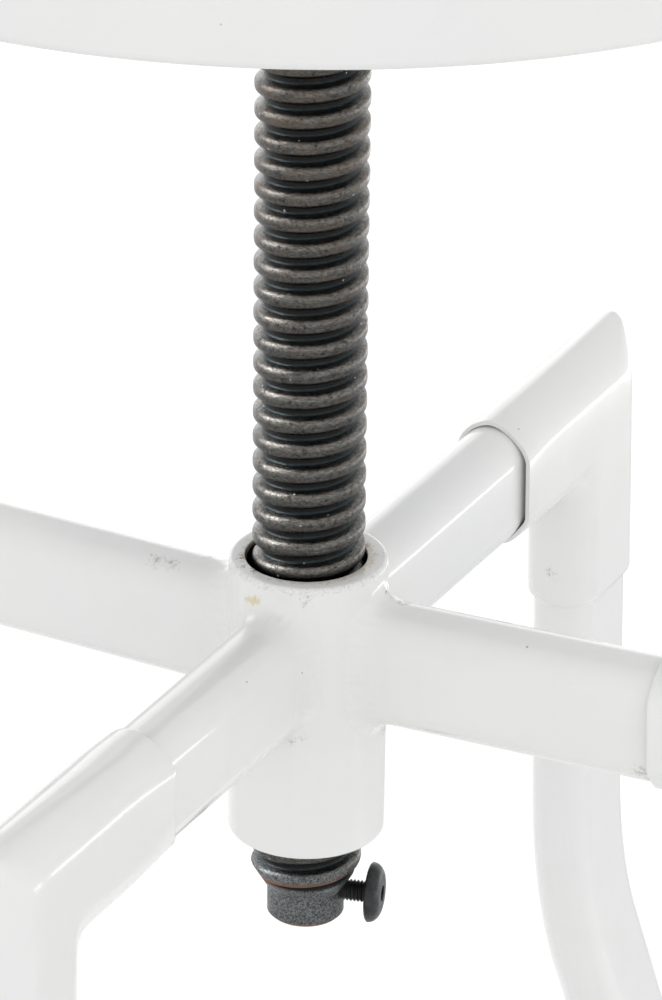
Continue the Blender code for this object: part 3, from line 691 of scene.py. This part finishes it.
def bead_point(across, deep, share, seed):
    """A point of a weld bead: share 0 lies on the arm, share 1 on the hub."""
    nose = TUBE_WIDTH / 2
    flat = TUBE_DEPTH / 2 - nose
    middle = clamp(deep, -flat, flat)
    side, rise = across / nose, (deep - middle) / nose
    lump = noise.noise(Vector((across / mm, deep / mm, seed)) * WELD_LUMPS)
    pool = noise.noise(Vector((across / mm, deep / mm, seed + WELD_POOL_SEED)) * WELD_POOLS)
    on_arm = WELD_ON_ARM * (1 + WELD_UNEVEN * lump)
    on_hub = WELD_ON_HUB * (1 + WELD_UNEVEN * pool)
    start = Vector((hub_face(across) + on_arm, across - WELD_SINK * side, deep - WELD_SINK * rise))
    far_across, far_deep = across + on_hub * side, deep + on_hub * rise
    end = Vector((hub_face(far_across) - WELD_SINK, far_across, far_deep))
    corner = Vector((hub_face(across), across, deep))
    controls = [start, start.lerp(corner, 0.5), corner, corner.lerp(end, 0.5), end]
    while len(controls) > 1:
        controls = [a.lerp(b, share) for a, b in zip(controls, controls[1:])]
    point = controls[0]
    run = middle + nose * math.atan2(deep - middle, abs(across))
    wave = math.sin(math.tau * run / WELD_RIPPLE_PITCH + WELD_RIPPLE_SWAY * lump)
    wave *= max(0.0, WELD_RIPPLE_SHARE + pool)
    outward = (start + end) / 2 - corner
    point += outward.normalized() * WELD_RIPPLE * wave * math.sin(math.pi * share) ** 2
    point.z += ARM_HEIGHT + point.x * math.tan(ARM_RISE)
    return point


def dress_weld(corner, azimuth, paint):
    """A painted bead round the joint of one arm and the hub."""
    bm = bmesh.new()
    across, deep = (bm.verts.layers.float.new(n) for n in ("across", "deep"))
    edges = oval(bm, TUBE_WIDTH, TUBE_DEPTH, square_to(Vector(), math.radians(90)), WELD_SIDE_CUTS)
    bmesh.ops.subdivide_edges(bm, edges=[e for e in edges if abs(e.verts[0].co.z) > WELD_NOSE], cuts=WELD_NOSE_CUTS)
    edges = bm.edges[:]
    for vert in bm.verts:
        vert[across], vert[deep] = vert.co.y, vert.co.z
    for step in range(WELD_STEPS + 1):
        if step:
            edges = grow(bm, edges, lambda p: p)
        for vert in points_of(edges):
            vert.co = bead_point(vert[across], vert[deep], step / WELD_STEPS, azimuth)
    set_round(bm, azimuth)
    piece("weld_" + corner, bm, "frame", "white_paint", paint)


# Elbow sleeves, legs, feet and footrest


def sleeve_corner():
    return Vector((SLEEVE_REACH, 0, ARM_HEIGHT + SLEEVE_REACH * math.tan(ARM_RISE)))


def section_normal(across, deep):
    """Outward direction of a sleeve's flat-oval section at a point: across it and along its depth."""
    flat = (SLEEVE_DEPTH - SLEEVE_WIDTH) / 2
    past = deep - clamp(deep, -flat, flat)
    length = math.hypot(across, past)
    return across / length, past / length


def mouth_gap(side, rise):
    """The arm lies against one side and the floor of its sleeve, so the gap opens at the loose side and on top."""
    closing = MOUTH_CLOSING_ABOVE if rise > 0 else MOUTH_CLOSING_BELOW
    at_side = MOUTH_SIDE_GAP * max(0.0, side) ** closing
    return MOUTH_GAP + at_side + MOUTH_TOP_GAP * max(0.0, rise) ** MOUTH_TOP_CLOSING


def mitre_reach(across, deep):
    """How far from the mitre the weld's rounding starts: short at the peak, long at the flanks and inside."""
    flat = (SLEEVE_DEPTH - SLEEVE_WIDTH) / 2
    if deep > flat:
        half = SLEEVE_WIDTH / 2
        share = clamp((abs(across) - MITRE_FLANK_FROM * half) / (MITRE_FLANK_SPAN * half))
        return MITRE_PEAK_ROUND + (MITRE_FLANK_ROUND - MITRE_PEAK_ROUND) * share
    share = max(0.0, (deep + flat) / (2 * flat))
    return MITRE_INNER_ROUND + (MITRE_FLANK_ROUND - MITRE_INNER_ROUND) * share


def dress_elbow(corner, azimuth, paint):
    """A mitred sleeve, loose at its mouth, peaked at its welded corner and pinched onto the leg at its foot."""
    bm = bmesh.new()
    across, deep = (bm.verts.layers.float.new(n) for n in ("across", "deep"))
    turn, arm, leg = sleeve_corner(), along_arm(), down(LEG_LEAN)
    lift = arm.cross(Vector((0, 1, 0)))
    lean = math.radians(90) + ARM_RISE
    mouth = turn - arm * (SLEEVE_REACH - MOUTHS[corner])
    rings = [oval(bm, SLEEVE_WIDTH, SLEEVE_DEPTH, square_to(mouth, lean))]
    for vert in bm.verts:
        vert[across], vert[deep] = vert.co.y, (vert.co - mouth).dot(lift)
    for near_run, far_run in zip(MOUTH_RINGS, MOUTH_RINGS[1:]):
        step = arm * (far_run - near_run) * mm
        rings.append(grow(bm, rings[-1], lambda p: p + step))
    for run, ring in zip(MOUTH_RINGS, rings):
        fade = max(0.0, 1 - run * mm / MOUTH_RUN) ** 2
        for vert in points_of(ring):
            side, rise = section_normal(vert[across], vert[deep])
            slack = mouth_gap(side * LOOSE_SIDE[corner], rise) - SLIP_GAP
            vert.co += (Vector((0, side, 0)) + lift * rise) * slack * fade
    edges = rings[-1]
    flat = (SLEEVE_DEPTH - SLEEVE_WIDTH) / 2
    slope = -lift.dot(arm + leg) / arm.dot(arm + leg)
    for step in range(-1, MITRE_STEPS + 2):
        edges = grow(bm, edges, lambda p: p)
        share = clamp(step / MITRE_STEPS)
        hold = (leg if step > 0 else -arm) * SLEEVE_HOLD if step in (-1, MITRE_STEPS + 1) else Vector()
        for vert in points_of(edges):
            seam = turn + Vector((0, vert[across], 0)) + (lift + arm * slope) * vert[deep]
            if vert[deep] > flat:
                peak = max(0.0, 1 - abs(vert[across]) / MITRE_PEAK_HALF)
                seam += (lift + arm * slope) * MITRE_PEAK * peak
            reach = mitre_reach(vert[across], vert[deep])
            before, after = seam - arm * reach, seam + leg * reach
            vert.co = before.lerp(seam, share).lerp(seam.lerp(after, share), share) + hold
    foot = turn + leg * SLEEVE_DROP
    for short in (SLEEVE_TAPER + SLEEVE_HOLD, SLEEVE_TAPER):
        edges = to_plane(bm, edges, leg, foot - leg * short, leg)
    for step in range(1, SLEEVE_TAPER_STEPS + 1):
        share = step / SLEEVE_TAPER_STEPS
        tuck = SLEEVE_PINCH * (1 - math.cos(math.pi * share)) / 2
        at = foot - leg * SLEEVE_TAPER * (1 - share)
        edges = grow(bm, edges, lambda p: p)
        for vert in points_of(edges):
            side, rise = section_normal(vert[across], vert[deep])
            flat_deep = vert[deep] - rise * SLEEVE_WIDTH / 2
            narrow = SLEEVE_WIDTH / 2 - tuck
            vert.co = at + Vector((0, side * narrow, 0)) + out(LEG_LEAN) * (flat_deep + rise * narrow)
    set_round(bm, azimuth)
    made = piece("elbow_sleeve_" + corner, bm, "frame", "white_paint", paint, "elbow_" + corner)
    tube_wall(made, SLEEVE_WALL)


def leg_stations():
    """Axis point and lean of a leg at its top and at both ends of each bend."""
    slant = LEG_LEAN + LEG_BEND_OUT
    top = sleeve_corner() + down(LEG_LEAN) * LEG_TOP
    upper = sleeve_corner() + down(LEG_LEAN) * LEG_UPPER
    slant_start = past_bend(upper, LEG_LEAN, LEG_BEND_OUT)
    slant_end = slant_start + down(slant) * LEG_SLANT
    lower = past_bend(slant_end, slant, -LEG_BEND_BACK)
    return top, upper, slant_end, lower


def leg_lean_below():
    return LEG_LEAN + LEG_BEND_OUT - LEG_BEND_BACK


def leg_axis_at(height):
    start, lean = leg_stations()[-1], leg_lean_below()
    return start + down(lean) * ((start.z - height) / math.cos(lean))


def dress_leg(corner, azimuth, paint):
    bm = bmesh.new()
    top, upper, slant_end, lower = leg_stations()
    slant, lean = LEG_LEAN + LEG_BEND_OUT, leg_lean_below()
    edges = oval(bm, TUBE_WIDTH, TUBE_DEPTH, square_to(top, LEG_LEAN))
    edges = grow(bm, edges, lambda p: p + down(LEG_LEAN) * TUBE_END)
    edges = to_plane(bm, edges, down(LEG_LEAN), upper, down(LEG_LEAN))
    edges = bend(bm, edges, upper, LEG_LEAN, LEG_BEND_OUT)
    edges = to_plane(bm, edges, down(slant), slant_end, down(slant))
    edges = bend(bm, edges, slant_end, slant, -LEG_BEND_BACK)
    edges = to_plane(bm, edges, down(lean), leg_axis_at(LEG_END_HEIGHT + TUBE_END), down(lean))
    to_plane(bm, edges, down(lean), leg_axis_at(LEG_END_HEIGHT), down(lean))
    set_round(bm, azimuth)
    tube_wall(piece("leg_tube_" + corner, bm, "frame", "white_paint", paint, "leg_" + corner), TUBE_WALL)


def dress_foot(corner, azimuth, rubber):
    """A moulded boot: bore, rounded lip, three grip ribs and a level sole."""
    bm = bmesh.new()
    lean = leg_lean_below()
    fall = down(lean)
    seat, lip = leg_axis_at(LEG_END_HEIGHT - FOOT_SEAT_GAP), leg_axis_at(FOOT_HEIGHT)
    bore = FOOT_BORE_GAP
    edges = oval(bm, TUBE_WIDTH + 2 * bore, TUBE_DEPTH + 2 * bore, square_to(seat, lean))
    bmesh.ops.edgeloop_fill(bm, edges=edges)
    edges = to_plane(bm, edges, -fall, lip + fall * FOOT_EDGE, fall)

    def ring(edges, at, by):
        """Next loop of the boot: square to the leg at a point, grown out from the tube by a length."""
        frame_at = square_to(at, lean)
        back = frame_at.inverted()

        def move(p):
            q = back @ p
            flat = (TUBE_DEPTH - TUBE_WIDTH) / 2
            core = Vector((clamp(q.x, -flat, flat), 0, 0))
            nose = Vector((q.x - core.x, q.y, 0)).normalized()
            return frame_at @ (core + nose * (TUBE_WIDTH / 2 + by))

        return grow(bm, edges, move)

    edges = ring(edges, lip + fall * FOOT_LIP_IN, bore + FOOT_LIP_IN)
    edges = ring(edges, lip, bore + FOOT_LIP_FLAT)
    edges = ring(edges, lip, FOOT_GROW - FOOT_LIP_OUT)
    edges = ring(edges, lip + fall * FOOT_LIP_OUT, FOOT_GROW)
    for start in FOOT_GROOVES:
        for drop, grown in FOOT_GROOVE:
            edges = ring(edges, lip + fall * (start + drop) * mm, FOOT_GROW + grown * mm)
    edges = to_plane(bm, edges, fall, Vector((0, 0, FOOT_EDGE)), Vector((0, 0, 1)))
    middle = leg_axis_at(0)

    def tuck(p):
        inward = (middle - p).normalized() * FOOT_EDGE
        return Vector((p.x + inward.x, p.y + inward.y, 0))

    edges = grow(bm, edges, tuck)
    bmesh.ops.edgeloop_fill(bm, edges=edges)
    set_round(bm, azimuth)
    piece("boot_" + corner, bm, "frame", "grey_rubber", rubber, "foot_" + corner)


def ring_radius():
    leg_face = leg_axis_at(RING_HEIGHT).x - TUBE_DEPTH / 2 / math.cos(leg_lean_below())
    return leg_face - RING_GAP - RING_TUBE_RADIUS


def dress_footrest(paint):
    section = arc(ring_radius(), RING_HEIGHT, RING_TUBE_RADIUS, 0, 360, RING_TUBE_STEPS)[:-1]
    piece("footrest_bar", turned(section, RING_SEGMENTS, closed=True), "frame", "white_paint", paint, "footrest_ring")


# Threads, spindle, bolt and screws


def rounded(points, rounds, steps=4):
    """Rounds the inner corners of a profile, each with its own radius."""
    made = [points[0]]
    for before, corner, after, radius in zip(points, points[1:], points[2:], rounds):
        a, b, c = Vector(before), Vector(corner), Vector(after)
        to_a, to_c = (a - b).normalized(), (c - b).normalized()
        half = math.acos(clamp(to_a.dot(to_c), -1, 1)) / 2
        cut = radius / math.tan(half)
        for i in range(steps + 1):
            share = i / steps
            first, last = b + to_a * cut, b + to_c * cut
            made.append(tuple(first.lerp(b, share).lerp(b.lerp(last, share), share)))
    return made + [points[-1]]


def thread(points, pitch, steps, low, high):
    """A right-handed thread of one profile, cut square at both ends."""
    first = math.floor(low / pitch) - 1
    turns = math.ceil(high / pitch) + 1 - first
    bm = bmesh.new()
    edges = chain(bm, [(r, z + first * pitch) for r, z in points], closed=False)
    outline = edges + list(points_of(edges))
    rise = (0, 0, pitch / steps)
    bmesh.ops.spin(bm, geom=outline, axis=(0, 0, 1), dvec=rise, angle=math.tau, steps=steps)
    one_turn = bm.verts[:] + bm.edges[:] + bm.faces[:]
    for turn in range(1, turns):
        copy = bmesh.ops.duplicate(bm, geom=one_turn)["geom"]
        verts = [g for g in copy if isinstance(g, bmesh.types.BMVert)]
        bmesh.ops.translate(bm, verts=verts, vec=(0, 0, pitch * turn))
    bmesh.ops.remove_doubles(bm, verts=bm.verts[:], dist=THREAD_SAME_POINT)
    for height, facing in ((low, 1), (high, -1)):
        whole = bm.verts[:] + bm.edges[:] + bm.faces[:]
        cut, keep = (0, 0, height), (0, 0, facing)
        bmesh.ops.bisect_plane(bm, geom=whole, plane_co=cut, plane_no=keep, clear_inner=True)
    return bm


def end_loop(bm, height):
    return [e for e in bm.edges if e.is_boundary and all(abs(v.co.z - height) < CUT_FLAT for v in e.verts)]


def turn_down(bm, start, length, radius, full):
    """Turns a thread down to a radius at start and lets it grow back over length."""
    for vert in bm.verts:
        share = max(0.0, (vert.co.z - start) / length)
        if share < 1:
            now = math.hypot(vert.co.x, vert.co.y)
            factor = min(1.0, (radius + (full - radius) * share) / now)
            vert.co.x *= factor
            vert.co.y *= factor


def draw_out(bm, edges, length, shrink=1.0):
    return grow(bm, edges, lambda p: Vector((p.x * shrink, p.y * shrink, p.z + length)))


def dress_spindle(steel):
    """The power screw: rounded crests, a run-out cone, a plain stub below and a neck above."""
    half = CREST_WIDTH / 2
    corners = [(ROOT_RADIUS, -PITCH / 2), (ROOT_RADIUS, -half - FLANK_WIDTH), (CREST_RADIUS, -half)]
    corners += [(CREST_RADIUS, half), (ROOT_RADIUS, half + FLANK_WIDTH), (ROOT_RADIUS, PITCH / 2)]
    profile = rounded(corners, (ROOT_ROUND, CREST_ROUND, CREST_ROUND, ROOT_ROUND))
    profile = [(radius, height + THREAD_SHIFT) for radius, height in profile]
    bm = thread(profile, PITCH, THREAD_STEPS, THREAD_LOW, THREAD_HIGH)
    turn_down(bm, RUN_OUT_START, RUN_OUT_LENGTH, STUB_RADIUS, CREST_RADIUS)
    turn_down(bm, THREAD_HIGH, -NECK_CHAMFER, NECK_RADIUS, CREST_RADIUS)
    neck = draw_out(bm, end_loop(bm, THREAD_HIGH), NECK_TOP - THREAD_HIGH)
    tail = draw_out(bm, end_loop(bm, THREAD_LOW), STUB_EDGE - STUB_LENGTH)
    for drop, tuck in STUB_EDGE_STEPS:
        tail = draw_out(bm, tail, -drop * STUB_EDGE, 1 - tuck * STUB_EDGE / STUB_RADIUS)
    for loop in (neck, tail):
        bmesh.ops.edgeloop_fill(bm, edges=loop)
    piece("spindle_screw", bm, "seat", "blackened_steel", steel, "spindle")


def bolt_thread(low, high):
    """A fine bolt thread along Z with a chamfered tip, open at its top."""
    root = BOLT_RADIUS - BOLT_THREAD_DEPTH
    crest, quarter = BOLT_PITCH / 16, BOLT_PITCH * 3 / 8
    points = [(root, -BOLT_PITCH / 2), (root, -crest - quarter), (BOLT_RADIUS, -crest)]
    points += [(BOLT_RADIUS, crest), (root, crest + quarter), (root, BOLT_PITCH / 2)]
    bm = thread(points, BOLT_PITCH, BOLT_STEPS, low, high)
    turn_down(bm, low, BOLT_PITCH, root, BOLT_RADIUS)
    bmesh.ops.edgeloop_fill(bm, edges=end_loop(bm, low))
    return bm


def domed_head(bm, radius, height, under, flats):
    """Adds a domed head with a hexagon socket, standing up Z from under."""
    rim, flat = HEAD_RIM * height, HEAD_FLAT * radius
    profile = [(BOLT_RADIUS - BOLT_THREAD_DEPTH, under), (radius - rim, under), (radius, under + rim)]
    for i in range(1, HEAD_STEPS + 1):
        a = math.radians(90) * i / HEAD_STEPS
        profile.append((flat + (radius - flat) * math.cos(a), under + rim + (height - rim) * math.sin(a)))
    add_socket(bm, profile, flats, under + height, HEAD_DEPTH * height)


def add_socket(bm, profile, flats, face, deep):
    """Turns a profile, sinks a hexagon socket into its face and adds it to a screw."""
    lip, socket = SOCKET_LIP, flats / 2 / math.cos(HEX_HALF)
    profile = profile + [(socket + lip, face), (socket, face - lip), (socket, face - deep), (0, face - deep - lip)]
    head = turned(profile, HEAD_SEGMENTS)
    for vert in head.verts:
        away = math.hypot(vert.co.x, vert.co.y)
        if 0 < away < socket + 1.1 * lip and vert.co.z > face - deep - lip / 2:
            angle = math.degrees(math.atan2(vert.co.y, vert.co.x)) % 60 - 30
            factor = math.cos(HEX_HALF) / math.cos(math.radians(angle))
            vert.co.x *= factor
            vert.co.y *= factor
    whole = bpy.data.meshes.new("head")
    head.to_mesh(whole)
    head.free()
    bm.from_mesh(whole)
    bpy.data.meshes.remove(whole)


def dress_stop_bolt(black):
    """The furniture bolt across the spindle's stub, with its thread showing and a hexagon socket."""
    tip = STOP_BOLT_UNDER_HEAD - STOP_BOLT_LENGTH
    bm = bolt_thread(tip, STOP_BOLT_UNDER_HEAD)
    domed_head(bm, STOP_HEAD_RADIUS, STOP_HEAD_HEIGHT, STOP_BOLT_UNDER_HEAD, STOP_SOCKET_FLATS)
    lay = Matrix.Rotation(STOP_BOLT_ANGLE, 4, "Z") @ Matrix.Rotation(math.radians(90), 4, "Y")
    at = Matrix.Translation((0, 0, STOP_BOLT_HEIGHT)) @ lay
    bmesh.ops.transform(bm, matrix=at, verts=bm.verts[:])
    piece("stop_bolt_black", bm, "seat", "blackened_steel", black, "stop_bolt")


def dress_screws(corner, azimuth, black):
    """The headless lock screw under a sleeve, pointing up, and the footrest screw, pointing in."""
    under = SLEEVE_DEPTH / 2 - LOCK_SCREW_SINK
    lock_at = Matrix.Translation((0, 0, ARM_HEIGHT)) @ Matrix.Rotation(-ARM_RISE, 4, "Y")
    lock_at @= Matrix.Translation((LOCK_SCREW_REACH, 0, -under)) @ Matrix.Rotation(math.pi, 4, "X")
    face = -BOLT_PITCH / 2
    lock = bolt_thread(-LOCK_SCREW_LENGTH, face)
    add_socket(lock, [(BOLT_RADIUS - BOLT_THREAD_DEPTH, face)], LOCK_SOCKET_FLATS, face, LOCK_SOCKET_DEPTH)
    leg, half = leg_axis_at(RING_HEIGHT), TUBE_DEPTH / 2 / math.cos(leg_lean_below())
    head_seat = leg.x + half + REST_HEAD_GAP
    reach = head_seat - (ring_radius() + RING_TUBE_RADIUS - REST_SCREW_GRIP)
    rest_at = Matrix.Translation((head_seat, 0, RING_HEIGHT)) @ Matrix.Rotation(math.radians(90), 4, "Y")
    rest = bolt_thread(-reach, 0)
    domed_head(rest, BUTTON_RADIUS, BUTTON_HEIGHT, 0, BUTTON_SOCKET_FLATS)
    for kind, bm, at in (("lock", lock, lock_at), ("footrest", rest, rest_at)):
        bmesh.ops.transform(bm, matrix=at, verts=bm.verts[:])
        set_round(bm, azimuth)
        piece(f"{kind}_bolt_{corner}", bm, "frame", "blackened_steel", black, f"{kind}_screw_{corner}")


# Seat


def seat_skin(offset):
    """The pressed sheet's outer face, from the axis to the rim, moved in by offset."""
    top, crown = SEAT_RIM + SEAT_SKIRT, SEAT_RADIUS - SEAT_DRAFT - SEAT_SHOULDER
    points = [(0, top - SEAT_DISH - offset), (SEAT_FLAT_RADIUS, top - SEAT_DISH - offset)]
    for i in range(1, SEAT_STEPS):
        share = i / SEAT_STEPS
        rise = SEAT_DISH * (1 + math.cos(math.pi * share)) / 2
        points.append((SEAT_FLAT_RADIUS + (crown - SEAT_FLAT_RADIUS) * share, top - rise - offset))
    points += arc(crown, top - SEAT_SHOULDER, SEAT_SHOULDER - offset, 90, SEAT_SHOULDER_END, SEAT_STEPS)
    points.append((SEAT_RADIUS - offset, SEAT_RIM + SEAT_CURL))
    return points


def dress_seat(paint):
    """The pressed pan: dished top, rounded shoulder, drafted skirt and a rolled lower edge."""
    curl = arc(SEAT_RADIUS - SEAT_CURL, SEAT_RIM + SEAT_CURL, SEAT_CURL, 0, -180, SEAT_CURL_STEPS)
    profile = seat_skin(0.0) + curl[1:] + seat_skin(SEAT_SHEET)[::-1]
    piece("seat_pressing", turned(profile, SEAT_SEGMENTS), "seat", "white_paint", paint, "seat_pan")


# Studio

# Soft boxes, with places in metres and power in watts
STRIP = {"place": (1.4, 0.45, 0.1), "width": 2.2, "height": 0.11, "power": 3.2}
WALL = {"place": (0.56, 3.96, 0.75), "width": 5.0, "height": 0.9, "power": 25}
SHEEN = {"place": (0.56, 3.96, 1.1), "width": 5.0, "height": 2.0, "power": 28}
KICKER = {"place": (-3.19, 1.29, 2.43), "width": 2.3, "height": 3.0, "power": 185, "aim": (0, 0, 0.6)}
LAMP_AIM = (0, 0, 0.55)

# Room light: its level at the horizon and higher up, and how much more of it comes from the front
ROOM_HEIGHTS, ROOM_LEVELS = (0.02, 0.5), (1.24, 0.93)
ROOM_FRONT = math.radians(250)
ROOM_FRONT_SHARE = 0.2
SEEN_WHITE = ("Is Camera Ray", "Is Glossy Ray", "Is Transmission Ray")

FLOOR_HALF = 40.0
FLOOR_DROP = 0.2 * mm
FLOOR_GREY = (0.86, 0.86, 0.86)
FLOOR_GLOW = 0.25
# The shade card: a grey sheet seen only in gloss, painted shade of the floor in reflections
CARD_HALF = 0.5
CARD_WIDTH, CARD_LENGTH = 0.7, 1.7
CARD_PLACE = (1.02, 0, 0.02)
CARD_ANGLE = math.radians(18)
SHADE_CARD_GREY = (0.65, 0.65, 0.65)
MATT = 0.9

# The photograph's camera, from a least-squares fit to edges measured in it
CAMERA_SENSOR, CAMERA_LENS = 36.0, 213.801
CAMERA_FAR = 200
CAMERA_AWAY = 1584.239 * mm
CAMERA_RISE = math.radians(27.121)
CAMERA_HEADING = math.radians(342.059)
CAMERA_SWINGS = {"up": -0.211, "right": 1.391, "ahead": -0.526}


def lamp(name, place, width, height, power, aim=LAMP_AIM):
    """A soft box that lights the stool and shows in its gloss, unseen by the camera."""
    data = bpy.data.lights.new(name, "AREA")
    data.shape = "RECTANGLE"
    data.size, data.size_y, data.energy = width, height, power
    made = shown(name, data)
    made.location = place
    made.rotation_euler = (Vector(aim) - Vector(place)).to_track_quat("-Z", "Y").to_euler()
    made.visible_camera = False
    return made


def keep_to(made, name):
    """Keeps a lamp to one piece, as flags round it would."""
    lit = bpy.data.collections.new(made.name + "_reach")
    lit.objects.link(bpy.data.objects[name])
    made.light_linking.receiver_collection = lit


def seen_white(look):
    """One where a ray comes from the camera, from gloss or through glass, else nought."""
    path = node(look, "ShaderNodeLightPath").outputs
    camera, gloss, glass = (Field(look, path[name]) for name in SEEN_WHITE)
    return camera.most(gloss).most(glass)


def light_room():
    """Even white surroundings: white to the camera and in gloss, as light brightest near the horizon."""
    world = bpy.data.worlds.new("white_room")
    bpy.context.scene.world = world
    world.use_nodes = True
    ground = world.node_tree.nodes["Background"]
    direction = place_of(world, "Generated")
    room = direction.axis("Z").spread(*ROOM_HEIGHTS, *ROOM_LEVELS)
    facing = direction.vector("DOT_PRODUCT", "Value", (math.cos(ROOM_FRONT), math.sin(ROOM_FRONT), 0))
    room += facing * ROOM_FRONT_SHARE
    white = seen_white(world)
    connect(world, room * (1.0 - white) + white, ground.inputs["Strength"])
    ground.inputs["Color"].default_value = (1, 1, 1, 1)


def flat_sheet(name, half, look, matrix):
    """A square sheet of the set, moved into place."""
    bm = bmesh.new()
    bmesh.ops.create_grid(bm, x_segments=1, y_segments=1, size=half)
    bmesh.ops.transform(bm, matrix=matrix, verts=bm.verts[:])
    mesh = bpy.data.meshes.new(name)
    bm.to_mesh(mesh)
    bm.free()
    mesh.materials.append(look)
    return shown(name, mesh)


def lay_floor():
    """A pale floor that reads white to the camera and keeps the stool's shadow."""
    look = look_for("pale_floor", FLOOR_GREY, MATT, specular=0.0, emission_color=(1, 1, 1, 1))
    feed(look, "Emission Strength", seen_white(look).spread(0.0, 1.0, 0.0, FLOOR_GLOW))
    floor = flat_sheet("floor", FLOOR_HALF, look, Matrix.Translation((0, 0, -FLOOR_DROP)))


def lay_shade_card():
    """A grey card by the strip, seen only in gloss, that stands for shaded floor: painted shade in the reflections,
    so that right-hand faces aren't washed out.
    """
    shape = Matrix.Diagonal((CARD_WIDTH, CARD_LENGTH, 1, 1))
    at = Matrix.Rotation(CARD_ANGLE, 4, "Z") @ Matrix.Translation(CARD_PLACE) @ shape
    card = flat_sheet("grey_card", CARD_HALF, look_for("grey_card", SHADE_CARD_GREY, MATT), at)
    card.visible_camera = card.visible_diffuse = card.visible_shadow = False


def set_camera():
    """The photograph's viewpoint: a long lens 1.6 m away, 27 degrees above the arms."""
    data = bpy.data.cameras.new("studio_camera")
    made = shown("studio_camera", data)
    data.sensor_width, data.lens, data.clip_end = CAMERA_SENSOR, CAMERA_LENS, CAMERA_FAR
    heading = Matrix.Rotation(CAMERA_HEADING, 3, "Z")
    start = heading @ Vector((0, -CAMERA_AWAY * math.cos(CAMERA_RISE), CAMERA_AWAY * math.sin(CAMERA_RISE)))
    axes = {"ahead": (-start).normalized(), "right": heading @ Vector((1, 0, 0))}
    axes["up"] = axes["right"].cross(axes["ahead"])
    for pivot, angle in CAMERA_SWINGS.items():
        swing = Matrix.Rotation(math.radians(angle), 3, axes[pivot])
        axes = {name: swing @ axis for name, axis in axes.items()}
    pose = Matrix((axes["right"], axes["up"], -axes["ahead"])).transposed().to_4x4()
    made.matrix_world = Matrix.Translation(start + Vector((0, 0, ARM_HEIGHT))) @ pose
    bpy.context.scene.camera = made


def main():
    bpy.context.scene.view_settings.view_transform = "Standard"
    set_camera()
    light_room()
    lay_floor()
    lamp("low_right_strip", **STRIP)
    lamp("back_wall_box", **WALL).visible_glossy = False
    lamp("back_wall_sheen", **SHEEN).visible_diffuse = False
    kicker = lamp("back_left_box", **KICKER)
    kicker.visible_diffuse = False
    lay_shade_card()
    paint, steel, black = gloss_white(), black_thread(), satin_black()
    bright, bush, rubber = bright_steel(), bush_steel(), boot_rubber()
    dress_hub(paint)
    dress_footrest(paint)
    for corner, azimuth in CORNERS.items():
        dress_arm(corner, azimuth, paint)
        dress_weld(corner, azimuth, paint)
        dress_elbow(corner, azimuth, paint)
        dress_leg(corner, azimuth, paint)
        dress_foot(corner, azimuth, rubber)
        dress_screws(corner, azimuth, black)
    dress_spindle(steel)
    keep_to(kicker, "spindle_screw")
    dress_stop_bolt(black)
    dress_seat(paint)
    plain = {"spindle_nut": bush, "spindle_collar": black, "seat_plate": black}
    for index in range(1, 5):
        plain[f"seat_stud_{index}"] = bright
        plain[f"seat_nut_{index}"] = bright
    for name, look in plain.items():
        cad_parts[name].data.materials.clear()
        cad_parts[name].data.materials.append(look)


main()
